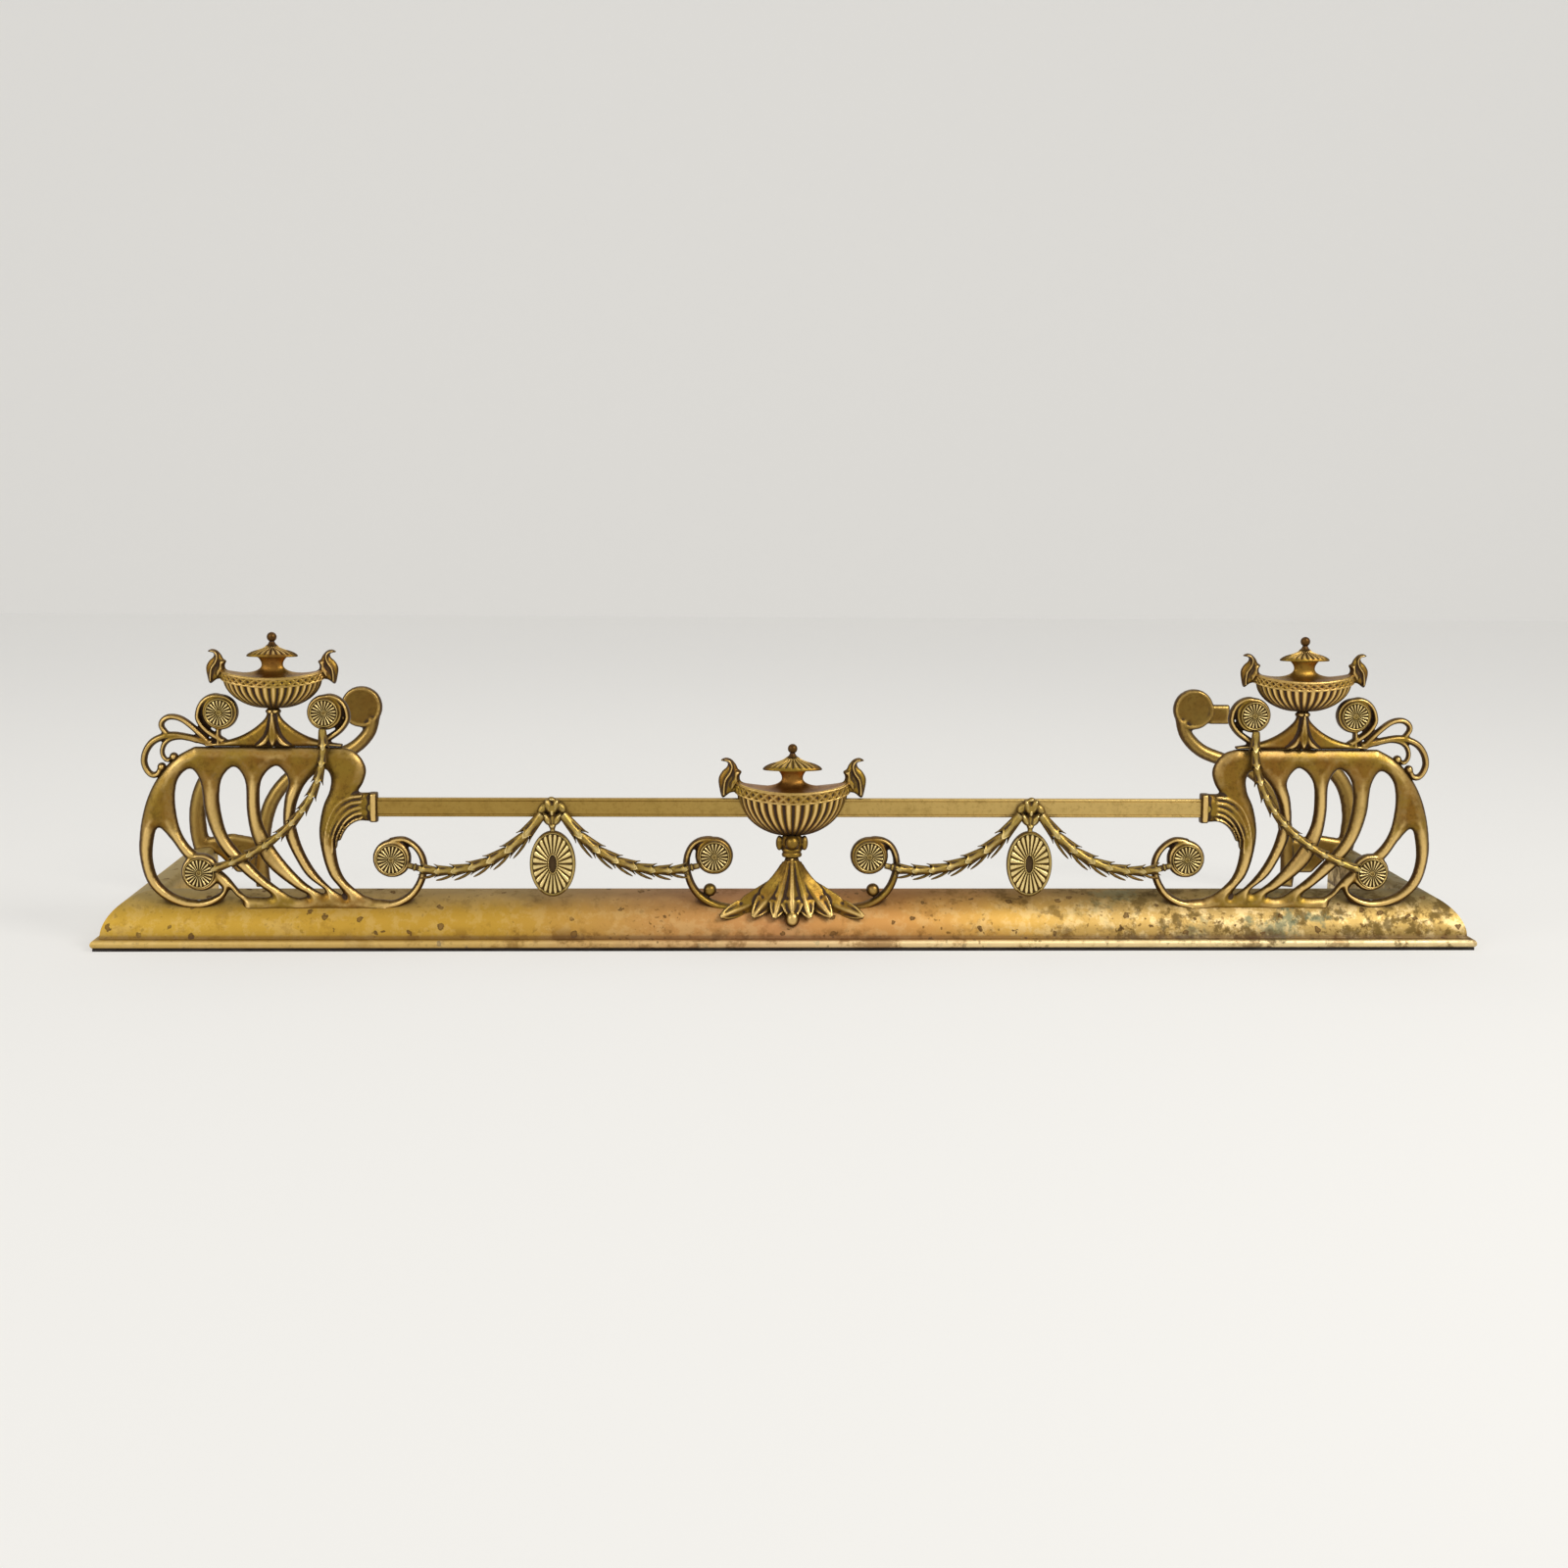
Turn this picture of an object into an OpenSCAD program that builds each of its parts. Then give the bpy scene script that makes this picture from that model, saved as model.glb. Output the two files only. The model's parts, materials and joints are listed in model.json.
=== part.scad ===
// Brass fire fender: a pressed kerb with two returns, openwork end panels with urns, an urn on
// leaf scrolls in the middle, and a flat rail hung with husk swags. Front faces -Y, origin on the hearth.

/* [Overall] */
// Width over the kerb, lip to lip
fender_w = 1370; // [1300:5:1500]
// Depth from the front lip to the rear ends of the returns
fender_d = 330; // [300:5:400]

/* [Kerb] */
// Width of the kerb, outer lip to inner wall
kerb_w = 60; // [57:1:66]
// Height of the crest above the hearth
kerb_h = 53; // [50:0.5:56]
// Thickness of the pressed sheet
kerb_t = 2; // [1.5:0.25:2.5]
// Radius of the half-round bead along the lip
bead_r = 4.2; // [3.5:0.1:4.8]
// Radius of the roll between crest and inner wall
roll_r = 5; // [3:0.5:7]
// Width of the turned-in edges that lie on the sub-frame
flange_w = 6; // [4:0.5:8]
// Thickness of the iron sub-frame
base_t = 2.5; // [2:0.25:4]
// Setback of the sub-frame behind the lip
base_inset = 2; // [1:0.5:3]
// Length of each arm of the corner plates
plate_arm = 84; // [70:1:100]
// Thickness of the corner plates
plate_t = 2; // [1.5:0.5:3]

/* [Castings] */
// Setback of the castings' front face behind the kerb's lip
casting_inset = 20; // [18:0.5:24]
// Thickness of the openwork castings
casting_t = 12; // [11:0.5:14]
// Distance from the kerb's end to the outermost point of a panel
panel_inset = 45; // [40:1:60]
// Width of a panel, outer arc to socket mouth
panel_w = 233; // [225:1:245]
// Height of the panels' top bar above the hearth
bar_z = 199; // [195:1:205]
// Radius of the scroll eyes at the foot of the castings
eye_r = 19; // [18:0.5:20]
// Radius of the scroll eyes of the cresting
crest_eye_r = 17.5; // [16.5:0.5:18.5]
// Height of the cresting's scroll eyes above the top bar
crest_eye_z = 34; // [32:0.5:36]
// Thickness of the rear brackets
rear_t = 14; // [12:0.5:18]
// Setback of the rear brackets from the ends of the returns
rear_inset = 10; // [6:1:30]

/* [Rail] */
// Height of the rail's centreline above the hearth
rail_z = 139.6; // [137:0.2:142]
// Height of the rail's section
rail_h = 18.4; // [16:0.2:20]
// Thickness of the rail's section
rail_t = 8; // [6:0.5:8.5]
// Depth of the rail's ends in their sockets
rail_grip = 12; // [8:1:16]
// Height of the sockets' collars
collar_h = 29; // [25:1:31]
// Play between the rail and what it passes through
rail_play = 0.1; // [0.05:0.05:0.3]

/* [Urns] */
// Height of the cresting's seat for its urn
urn_seat = 38; // [34:0.5:40]
// Height of the side urns' rims above the top bar
side_rim_rise = 74; // [70:0.5:80]
// Height of the centre bowl, foot to rim
centre_bowl_h = 52; // [49:0.5:56]
// Height of the fretted band round a rim
rim_band_h = 8; // [6:0.5:9]
// Radius of an urn's foot
urn_foot_r = 9; // [8:0.5:11]
// Radius of an urn's neck
urn_neck_r = 11.6; // [10.5:0.1:13]
// Depth of a side urn's rod in its panel
rod_sink = 12; // [8:1:16]
// Depth of the urns as a share of their width
urn_flat = 0.45; // [0.4:0.01:0.45]
// Radius of a side urn's rim
side_rim_r = 50; // [47:0.5:54]
// Radius of the centre urn's rim
centre_rim_r = 57; // [54:0.5:57.5]
// Height of the side urns' necks above their rims
side_neck_h = 14; // [12:0.5:16]
// Height of the centre urn's neck above its rim
centre_neck_h = 13; // [12:0.5:16]
// Radius of the side covers
side_lid_r = 25; // [22:0.5:30]
// Radius of the centre cover
centre_lid_r = 29.5; // [26:0.5:34]
// Radius of the finial balls
finial_r = 4.8; // [4:0.1:6]
// Radius of the tie rods
rod_r = 1.6; // [1.2:0.1:2]
// Height of the centre bracket's leaf foot
foot_h = 90; // [86:1:92]
// Height of the knop between the leaf foot and the centre bowl
knop_h = 22; // [20:1:24]
// Thickness of the urns' leaf handles
handle_t = 8; // [6:0.5:10]

/* [Ornament] */
// Radius of the rosettes on the foot scrolls
rosette_r = 15.4; // [14:0.2:16.4]
// Radius of the rosettes on the cresting
crest_rosette_r = 14.2; // [13:0.2:14.6]
// Thickness of a rosette
rosette_t = 5; // [4:0.5:6]
// Width of a husk
husk_w = 9.5; // [8:0.5:10.5]
// Number of husks in each half of a swag
swag_husks = 8; // [6:1:9]
// Number of husks in a garland
garland_husks = 11; // [8:1:12]
// Distance of the bows and paterae from the middle of the rail
bow_x = 236; // [225:1:245]
// Radius of a bow's upper knot
bow_r = 11; // [10:0.5:12]
// Thickness of a bow
bow_t = 7; // [6:0.5:9]
// Half width of a patera
patera_r = 22.5; // [20:0.5:25]
// Half height of a patera
patera_h = 32.7; // [30:0.1:36]
// Thickness of a patera
patera_t = 6; // [5:0.5:8]
// Height of a patera's centre above the hearth
patera_z = 84.5; // [83:0.5:87]

/* [Fixings] */
// Radius of the studs that hold the castings on the kerb
stud_r = 2.5; // [2:0.25:3]
// Height of a stud in its casting
stud_grip = 3.5; // [3:0.5:4]
// Radius of the stud nuts over their corners
nut_r = 5.5; // [4.5:0.5:6.5]
// Depth of the stud nuts
nut_h = 6; // [5:0.5:8]
// Radius of the rivets and rail pins
rivet_r = 1.5; // [1.2:0.1:1.8]
// Radius of the rivet heads
rivet_head_r = 3.4; // [2.8:0.1:4]
// Thickness of the rivet heads
rivet_head_t = 1.4; // [1:0.2:2]
// Radius of the corner screws
screw_r = 2; // [1.5:0.25:2.5]

/* [Hidden] */
$fn = 48;
eps = 0.01;
curve_steps = 4;
half_w = fender_w / 2;
half_d = fender_d / 2;
front_y = -half_d + casting_inset;
mid_y = front_y + casting_t / 2;
rail_front_y = mid_y - rail_t / 2;
layer_y = front_y - husk_w / 2 - eps;
panel_x = -half_w + panel_inset;
socket_x = panel_x + panel_w;
rail_half = abs(socket_x) + rail_grip;
kx = panel_w / 233;
kz = bar_z / 199;

// ---- kerb section: u runs inward from the lip, z up ----
ovolo_u = bead_r + 3.8;
ovolo_z = base_t + 2 * bead_r + 3.1;
ovolo_run = kerb_w - roll_r - ovolo_u;
ovolo_rise = kerb_h - ovolo_z;
ovolo_power = 1.15;
function ovolo(t) = [ovolo_u + ovolo_run * (1 - cos(t)), ovolo_z + ovolo_rise * pow(sin(t), ovolo_power)];
function kerb_z(u) = ovolo(acos(1 - (u - ovolo_u) / ovolo_run))[1];
kerb_path = concat(
    [[bead_r + flange_w, base_t]],
    [for (a = [270:-15:90]) [bead_r, base_t + bead_r] + bead_r * [cos(a), sin(a)]],
    [[ovolo_u - 1, base_t + 2 * bead_r + 0.7]],
    [for (t = [0:7.5:90]) ovolo(t)],
    [for (a = [75:-15:0]) [kerb_w - roll_r, kerb_h - roll_r] + roll_r * [cos(a), sin(a)]],
    [[kerb_w, base_t], [kerb_w - flange_w, base_t]]
);
function unit(v) = v / norm(v);
function turn(v) = [v[1], -v[0]];
function side_of(p, i) = unit(turn(p[i + 1] - p[i]));
function inset_point(p, i, d) =
    let (last = len(p) - 1, a = side_of(p, max(i - 1, 0)), b = side_of(p, min(i, last - 1)))
    p[i] + d * (a + b) / (1 + a * b);
kerb_inner = [for (i = [0:len(kerb_path) - 1]) inset_point(kerb_path, i, kerb_t)];
kerb_section = concat(kerb_path, [for (i = [len(kerb_inner) - 1:-1:0]) kerb_inner[i]]);

// ---- curves ----
function spline(a, b, c, d, t) =
    0.5 * (2 * b + (c - a) * t + (2 * a - 5 * b + 4 * c - d) * t * t + (3 * b - a - 3 * c + d) * t * t * t);
function open_curve(p, n = curve_steps) = let (last = len(p) - 1) concat(
    [for (i = [0:last - 1], j = [0:n - 1])
        spline(p[max(i - 1, 0)], p[i], p[i + 1], p[min(i + 2, last)], j / n)], [p[last]]);
function closed_curve(p, n = curve_steps) = let (m = len(p))
    [for (i = [0:m - 1], j = [0:n - 1]) spline(p[(i + m - 1) % m], p[i], p[(i + 1) % m], p[(i + 2) % m], j / n)];
function heading(c, i) = unit(c[min(i + 1, len(c) - 1)] - c[max(i - 1, 0)]);
function band(p, w0, w1) = let (c = open_curve(p), last = len(c) - 1) concat(
    [for (i = [0:last]) c[i] + turn(heading(c, i)) * (w0 + (w1 - w0) * i / last) / 2],
    [for (i = [last:-1:0]) c[i] - turn(heading(c, i)) * (w0 + (w1 - w0) * i / last) / 2]);
function bezier(p, t) = pow(1 - t, 3) * p[0] + 3 * t * pow(1 - t, 2) * p[1] + 3 * t * t * (1 - t) * p[2] + pow(t, 3) * p[3];
function scaled(p, sx, sz) = [for (q = p) [q[0] * sx, q[1] * sz]];

// ---- panel outline: x inward from the outer arc, z above the hearth ----
collar_lo = rail_z - collar_h / 2;
collar_hi = rail_z + collar_h / 2;
collar_len = 19;
panel_left_edge = scaled([[56, 199], [38, 189], [25, 176], [14, 159], [6, 139], [1, 115], [0, 91], [6, 66], [19, 50],
    [38, 40], [55, 37.5], [68, 40], [80, 47], [87, 58]], kx, kz);
panel_rail = scaled([[93, 51], [99, 46], [99, 34], [244, 34], [244, 47], [228, 48]], kx, kz);
panel_neck_low = scaled([[217, 52], [207, 60], [199, 69], [194, 81], [191.5, 96], [192, 107]], kx, kz);
panel_neck_high = scaled([[214, 156], [219, 164], [222, 176], [218, 187], [210, 195], [198, 199]], kx, kz);
panel_branch = [[196 * kx, collar_lo - 8], [204 * kx, collar_lo - 2], [panel_w - collar_len, collar_lo + 1]];
panel_collar = [[panel_w, collar_lo], [panel_w, collar_hi], [panel_w - collar_len, collar_hi]];
panel_outline = concat(open_curve(panel_left_edge), panel_rail, open_curve(concat(panel_neck_low, panel_branch)),
    panel_collar, open_curve(panel_neck_high));
panel_gaps = [for (g = [
    [[19, 119], [14, 105], [13, 86], [18, 68], [29, 56], [43, 49.5], [58, 47.5], [71, 51], [79, 59], [60, 75], [43, 90], [31, 107]],
    [[52, 177], [40, 168], [36, 151], [37, 132], [41, 115], [50, 100], [66, 86], [84, 72], [100, 53], [112, 50], [127, 51],
        [114, 62], [101, 73], [88, 86], [78, 99], [70, 115], [64, 136], [61, 163]],
    [[94, 179], [82, 168], [79, 147], [82, 125], [87, 110], [96, 97], [106, 86], [120, 71], [136, 58], [149, 50], [163, 51],
        [150, 59], [132, 73], [120, 86], [113, 100], [108, 115], [105, 136], [104, 165]],
    [[135, 180], [121, 168], [118, 147], [120, 125], [126, 110], [133, 97], [145, 81], [160, 65], [176, 54], [179, 57],
        [162, 71], [150, 91], [142, 110], [140, 127], [142, 148], [146, 166]],
    [[180, 177], [164, 164], [155, 146], [152, 129], [154, 115], [160, 96], [171, 76], [186, 59], [199, 51], [193, 60],
        [184, 72], [178, 91], [175, 115], [179, 139], [186, 156], [187, 170]]]) closed_curve(scaled(g, kx, kz))];
panel_eye = [59 * kx, 75 * kz];
scroll_eye = [246 * kx, 88.6 * kz];
scroll_path = scaled([[226, 42], [247, 42.5], [263, 50.5], [273, 64], [277, 79], [275, 91], [268, 101], [257, 107.5], [244, 106]],
    kx, kz);
panel_studs = [57 * kx, 200 * kx];

// ---- cresting outline: x as on the panel, z above the top bar ----
crest_outer_eye = [82 * kx, crest_eye_z];
crest_inner_eye = [183 * kx, crest_eye_z];
urn_x = 133 * kx;
crest_flank = scaled(concat([[-67, 0]], open_curve([[-67, 3], [-50, 5.5], [-34, 10], [-20, 17.5], [-10, 26], [-6.5, 31]]),
    [[-6.5, urn_seat]]), kx, 1);
crest_foot = concat([for (p = crest_flank) [urn_x - p[0], p[1]]],
    [for (i = [len(crest_flank) - 1:-1:0]) [urn_x + crest_flank[i][0], crest_flank[i][1]]]);
function eye_wrap(e, r, s) = concat([e + s * [4, 0] - [0, r + 12], e + s * [-13, 0] - [0, r + 1]],
    [for (a = [200:-22:90]) e + (r - 2 + 7 * (a - 90) / 110) * [s * cos(a), sin(a)]]);
spray_bands = [
    [[[74, 3], [50, 9], [33, 11], [18, 6], [10, -3], [7, -14], [9.5, -23], [14.5, -28], [20, -27], [23, -21]], 6, 5.5],
    [[[72, 2.5], [50, 5.5], [34, 3], [27, -4], [27, -11], [32, -15], [36, -11]], 5, 4],
    [[[70, 4], [56, 18], [44, 27], [33, 29], [26, 25], [25, 19], [31, 11]], 5, 4.5]];
spray_balls = [[24, -20], [36, -10]];

// ---- centre bracket outline: x from the middle, z above the hearth ----
centre_eye = [77, 91.6];
centre_band = concat([[40, 36], [58, 38], [74, 42], [90, 48]],
    [for (a = [-40:26:90]) centre_eye + (eye_r - 2.5 + 14 * (90 - a) / 130) * [cos(a), sin(a)]]);
berry = [84, 54];
foot_edge = open_curve([[7, foot_h], [8.5, 78], [13, 66], [20, 56], [30, 48], [42, 42], [56, 37], [68, 34], [72, 29], [58, 27],
    [47, 30], [40, 22], [28, 22], [22, 20], [0, 18]], 2);
leaf_edge = open_curve([[0, 84], [4, 80], [6, 66], [10, 52], [16, 42], [15, 34], [9, 26], [0, 22]], 2);

// ---- rear bracket outline: x inward from the kerb's lip, z above the hearth ----
rear_bands = [
    [[[49, 44], [43, 70], [43, 98], [51, 124], [67, 143], [92, 157], [118, 161], [146, 158], [176, 151]], 20, 14],
    [[[113, 8], [111, 30], [113, 58], [117, 84], [125, 106], [140, 126], [162, 143], [190, 153], [214, 163], [231, 180], [237, 200]],
        17, 15]];
rear_head = [224, 209];
rear_head_r = 23;
rear_tongue = [[183, 192], [224, 192], [224, 215], [183, 215]];
rear_web = [[60, 46], [66, 42], [84, 24], [112, 24], [112, 62], [80, 68], [44, 62], [44, 46]];
rear_stud_u = 50;

// ---- stacks of turned parts ----
side_rim_z = bar_z + side_rim_rise;
centre_bowl_z = foot_h + knop_h;
centre_rim_z = centre_bowl_z + centre_bowl_h;
side_lid_z = side_rim_z + side_neck_h;
centre_lid_z = centre_rim_z + centre_neck_h;
lid_pitch = 0.45;
side_finial_z = side_lid_z + lid_pitch * side_lid_r;
centre_finial_z = centre_lid_z + lid_pitch * centre_lid_r;
finial_h = 7.5 + finial_r;
rod_tip = 5;

// ---- chains ----
swag_scroll_end = 17.2;
bow_centre = [bow_x, rail_z];
knot_drop = 15;
knot_r = 8;
swag_bow_end = bow_r + 0.4;
outer_swag = let (a = [abs(panel_x + scroll_eye[0]), scroll_eye[1]] + swag_scroll_end * unit([-17, -5.5]),
        b = bow_centre + swag_bow_end * unit([11, -6])) [b, b + [43, -62], a + [-32, -11], a];
inner_swag = let (a = centre_eye + swag_scroll_end * unit([14, -8]),
        b = bow_centre + swag_bow_end * unit([-11, -6])) [b, b + [-43, -62], a + [32, -9], a];
garland = let (a = [crest_inner_eye[0] - 2, bar_z + crest_eye_z - crest_rosette_r - 0.8],
        b = panel_eye + (rosette_r + 0.8) * unit([16, 5])) [a, a + [8, -68], b + [66, 20], b];

// ---- fixings ----
stud_places = concat([for (s = [-1, 1], x = panel_studs) [s * (panel_x + x), mid_y]]);
stud_top = kerb_z(mid_y + half_d) + stud_grip;
nut_top = kerb_z(mid_y + half_d) - kerb_t;
rear_y = half_d - rear_inset - rear_t / 2;
rear_stud_top = kerb_h + 9;
screw_u = kerb_w / 2 + 2;
corner_holes = let (near = kerb_w + 2 * screw_r)
    [[screw_u, screw_u], [screw_u, near], [screw_u, plate_arm], [near, screw_u], [plate_arm, screw_u]];

// ---- helpers ----
// Draws the left-hand part, or its mirror image on the right
module on_side(right) { mirror([right ? 1 : 0, 0, 0]) children(); }
// Extrudes an outline in X and Z backwards from y
module plate(y, t) { translate([0, y + t, 0]) rotate([90, 0, 0]) linear_extrude(t) children(); }
module pin_y(p, y, len, r) { translate([p[0], y + len, p[1]]) rotate([90, 0, 0]) cylinder(h = len, r = r); }
module pin_z(p, z, len, r) { translate([p[0], p[1], z]) cylinder(h = len, r = r); }
module front_prism(section) {
    translate([-half_w, -half_d, 0]) rotate([90, 0, 90]) linear_extrude(fender_w) polygon(section);
}
module return_prism(section) {
    translate([-half_w, half_d, 0]) rotate([90, 0, 0]) linear_extrude(fender_d) polygon(section);
}
module kerb_body() { front_prism(concat(kerb_path, [[kerb_w - flange_w, 0], [bead_r + flange_w, 0]])); }
module return_body() { return_prism(concat(kerb_path, [[kerb_w - flange_w, 0], [bead_r + flange_w, 0]])); }

// ---- kerb ----
module kerb_front() {
    color("goldenrod") difference() {
        intersection() {
            front_prism(kerb_section);
            linear_extrude(kerb_h + 1) polygon([for (s = [-1, 1], p = s < 0 ? [[1, -1], [-kerb_w - 1, kerb_w + 1]] :
                [[-kerb_w - 1, kerb_w + 1], [1, -1]]) [s * (half_w + p[0]), -half_d + p[1]]]);
        }
        for (p = concat(stud_places, [[0, mid_y]])) pin_z(p, base_t, kerb_h, stud_r);
    }
}
module kerb_return() {
    difference() {
        intersection() {
            return_prism(kerb_section);
            linear_extrude(kerb_h + 1) polygon([[-half_w - 1, -half_d - 1], [-half_w + kerb_w + 1, -half_d + kerb_w + 1],
                [-half_w + kerb_w + 1, half_d + 1], [-half_w - 1, half_d + 1]]);
        }
        pin_z([-half_w + rear_stud_u, rear_y], base_t, kerb_h, stud_r);
    }
}
module kerb_return_left() { color("goldenrod") kerb_return(); }
module kerb_return_right() { color("goldenrod") on_side(true) kerb_return(); }

// ---- sub-frame ----
function corner(s, p) = [s * (half_w - p[0]), -half_d + p[1]];
module corner_bores(z, h) { for (s = [-1, 1], p = corner_holes) pin_z(corner(s, p), z, h, screw_r); }
module base_front() {
    color("dimgray") difference() {
        translate([-half_w + base_inset, -half_d + base_inset, 0])
            cube([fender_w - 2 * base_inset, kerb_w - base_inset, base_t]);
        corner_bores(-1, base_t + 2);
    }
}
module base_return() {
    difference() {
        translate([-half_w + base_inset, -half_d + kerb_w, 0])
            cube([kerb_w - base_inset, fender_d - kerb_w - base_inset, base_t]);
        corner_bores(-1, base_t + 2);
    }
}
module base_left() { color("dimgray") base_return(); }
module base_right() { color("dimgray") on_side(true) base_return(); }
module corner_plates() {
    margin = 10;
    lo = screw_u - margin;
    hi = screw_u + margin;
    far = plate_arm + margin;
    color("gray") difference() {
        for (s = [-1, 1]) translate([0, 0, base_t]) linear_extrude(plate_t)
            polygon([for (p = [[lo, lo], [far, lo], [far, hi], [hi, hi], [hi, far], [lo, far]]) corner(s, p)]);
        corner_bores(0, base_t + plate_t + 1);
    }
}
module corner_screws() {
    head_t = 1.5;
    color("silver") for (s = [-1, 1], p = corner_holes) {
        pin_z(corner(s, p), 0.5, base_t + plate_t - 0.5, screw_r);
        pin_z(corner(s, p), base_t + plate_t, head_t, 2 * screw_r);
    }
}
module fixing_studs() {
    color("silver") {
        for (p = stud_places) pin_z(p, nut_top - nut_h - 2, stud_top - nut_top + nut_h + 2, stud_r);
        for (s = [-1, 1]) pin_z([s * (half_w - rear_stud_u), rear_y], kerb_h - kerb_t - nut_h - 3,
            rear_stud_top - kerb_h + kerb_t + nut_h + 3, stud_r);
    }
}
module nut_blank(p, z, r) {
    difference() {
        translate([p[0], p[1], z]) cylinder(h = kerb_h, r = nut_r, $fn = 6);
        pin_z(p, z - 1, kerb_h + 2, r);
    }
}
module fixing_nuts() {
    color("gray") {
        intersection() {
            union() {
                for (p = stud_places) nut_blank(p, nut_top - nut_h, stud_r);
                nut_blank([0, mid_y], nut_top - nut_h, rod_r);
            }
            front_prism(kerb_inner);
        }
        for (s = [0, 1]) on_side(s == 1) intersection() {
            nut_blank([-half_w + rear_stud_u, rear_y], kerb_h - kerb_t - nut_h - 1, stud_r);
            return_prism(kerb_inner);
        }
    }
}

// ---- end panels ----
module panel_shape() {
    difference() {
        polygon(panel_outline);
        for (g = panel_gaps) polygon(g);
    }
    translate(panel_eye) circle(eye_r);
    translate(scroll_eye) circle(eye_r);
    polygon(band(scroll_path, 9, 6));
}
module panel() {
    difference() {
        plate(front_y, casting_t) translate([panel_x, 0]) panel_shape();
        kerb_body();
        for (e = [panel_eye, scroll_eye]) pin_y([panel_x + e[0], e[1]], front_y - 1, casting_t + 2, rivet_r);
        for (x = panel_studs) pin_z([panel_x + x, mid_y], 0, stud_top, stud_r);
        translate([socket_x - rail_grip, mid_y - rail_t / 2 - rail_play, rail_z - rail_h / 2 - rail_play])
            cube([rail_grip + 1, rail_t + 2 * rail_play, rail_h + 2 * rail_play]);
        pin_y([socket_x - rail_grip / 2, rail_z], front_y - 1, casting_t + 2, rivet_r);
        pin_z([panel_x + urn_x, mid_y], bar_z - rod_sink, rod_sink + 1, rod_r);
    }
}
module panel_left() { color("peru") panel(); }
module panel_right() { color("peru") on_side(true) panel(); }

// ---- cresting ----
module crest_shape() {
    polygon(crest_foot);
    for (e = [crest_outer_eye, crest_inner_eye]) translate(e) circle(crest_eye_r);
    polygon(band(eye_wrap(crest_outer_eye, crest_eye_r, 1), 7, 5));
    polygon(band(eye_wrap(crest_inner_eye, crest_eye_r, -1), 7, 5));
    translate([crest_outer_eye[0] - 5, 0]) square([5, crest_eye_z - crest_eye_r + 2]);
    for (b = spray_bands) polygon(band(scaled(b[0], kx, 1), b[1], b[2]));
    for (p = scaled(spray_balls, kx, 1)) translate(p) circle(4.2);
}
module crest() {
    difference() {
        plate(front_y, casting_t) translate([panel_x, bar_z]) crest_shape();
        plate(front_y - 1, casting_t + 2) translate([panel_x, 0]) polygon(panel_outline);
        for (e = [crest_outer_eye, crest_inner_eye])
            pin_y([panel_x + e[0], bar_z + e[1]], front_y - 1, casting_t + 2, rivet_r);
        pin_z([panel_x + urn_x, mid_y], bar_z - 1, urn_seat + 2, rod_r);
    }
}
module crest_left() { color("peru") crest(); }
module crest_right() { color("peru") on_side(true) crest(); }

// ---- urns ----
// A flattened turned form: oval rings joined into one closed skin, bored for the tie rod
module turned(x, profile) {
    n = 40;
    last = len(profile) - 1;
    difference() {
        translate([x, mid_y, 0]) polyhedron(
            points = [for (p = profile, j = [0:n - 1]) [p[0] * cos(360 * j / n), p[0] * urn_flat * sin(360 * j / n), p[1]]],
            faces = concat([[for (j = [0:n - 1]) j]], [[for (j = [n - 1:-1:0]) last * n + j]],
                [for (i = [0:last - 1], j = [0:n - 1]) [i * n + j, (i + 1) * n + j, (i + 1) * n + (j + 1) % n, i * n + (j + 1) % n]]));
        pin_z([x, mid_y], profile[0][1] - 1, profile[last][1] - profile[0][1] + 2, rod_r);
    }
}
module bowl_solid(x, z0, rim_z, r, neck_h) {
    h = rim_z - z0;
    body = [for (t = [0:15:90]) [urn_foot_r + (r - urn_foot_r - 2) * pow(sin(t), 1.15),
        z0 + (h - rim_band_h - 1) * (1 - pow(cos(t), 1.1))]];
    shoulder = [for (t = [0:15:90]) [urn_neck_r + (r - 4 - urn_neck_r) * (1 - sin(t)), rim_z + 1 + (neck_h - 1) * (1 - cos(t))]];
    turned(x, concat(body, [[r, rim_z - rim_band_h], [r, rim_z - 1], [r - 2, rim_z]], shoulder));
}
module lid_solid(x, z, r) {
    h = lid_pitch * r;
    turned(x, [[urn_neck_r - 0.6, z], [r - 1, z + h * 0.08], [r, z + h * 0.16], [r - 3, z + h * 0.3], [r * 0.5, z + h * 0.58],
        [7, z + h * 0.82], [6, z + h]]);
}
module finial(x, z) {
    color("peru") difference() {
        translate([x, mid_y, z]) rotate_extrude() intersection() {
            union() {
                square([5, 1.5]);
                square([3, finial_h - finial_r]);
                translate([0, finial_h - finial_r]) circle(finial_r);
            }
            square([2 * finial_r, 2 * finial_h]);
        }
        pin_z([x, mid_y], z - 1, rod_tip + 1, rod_r);
    }
}
handle_edge = [[-6, -2], [0, 4], [-3, 10], [-3, 14], [0, 18], [5, 22], [10.5, 22.5], [7, 18], [9.5, 14.5], [14.5, 7], [13.5, -4],
    [6.5, -8], [-2, -8]];
module handles(x, rim_z, r, sx) {
    difference() {
        for (s = [-1, 1]) plate(mid_y - handle_t / 2, handle_t)
            polygon([for (p = closed_curve(handle_edge, 3)) [x + s * (r + sx * p[0]), rim_z + 1.1 * p[1]]]);
        children();
    }
}
module side_bowl() { bowl_solid(panel_x + urn_x, bar_z + urn_seat, side_rim_z, side_rim_r, side_neck_h); }
module centre_bowl() { bowl_solid(0, centre_bowl_z, centre_rim_z, centre_rim_r, centre_neck_h); }
module bowl_left() { color("peru") side_bowl(); }
module bowl_right() { color("peru") on_side(true) side_bowl(); }
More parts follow.
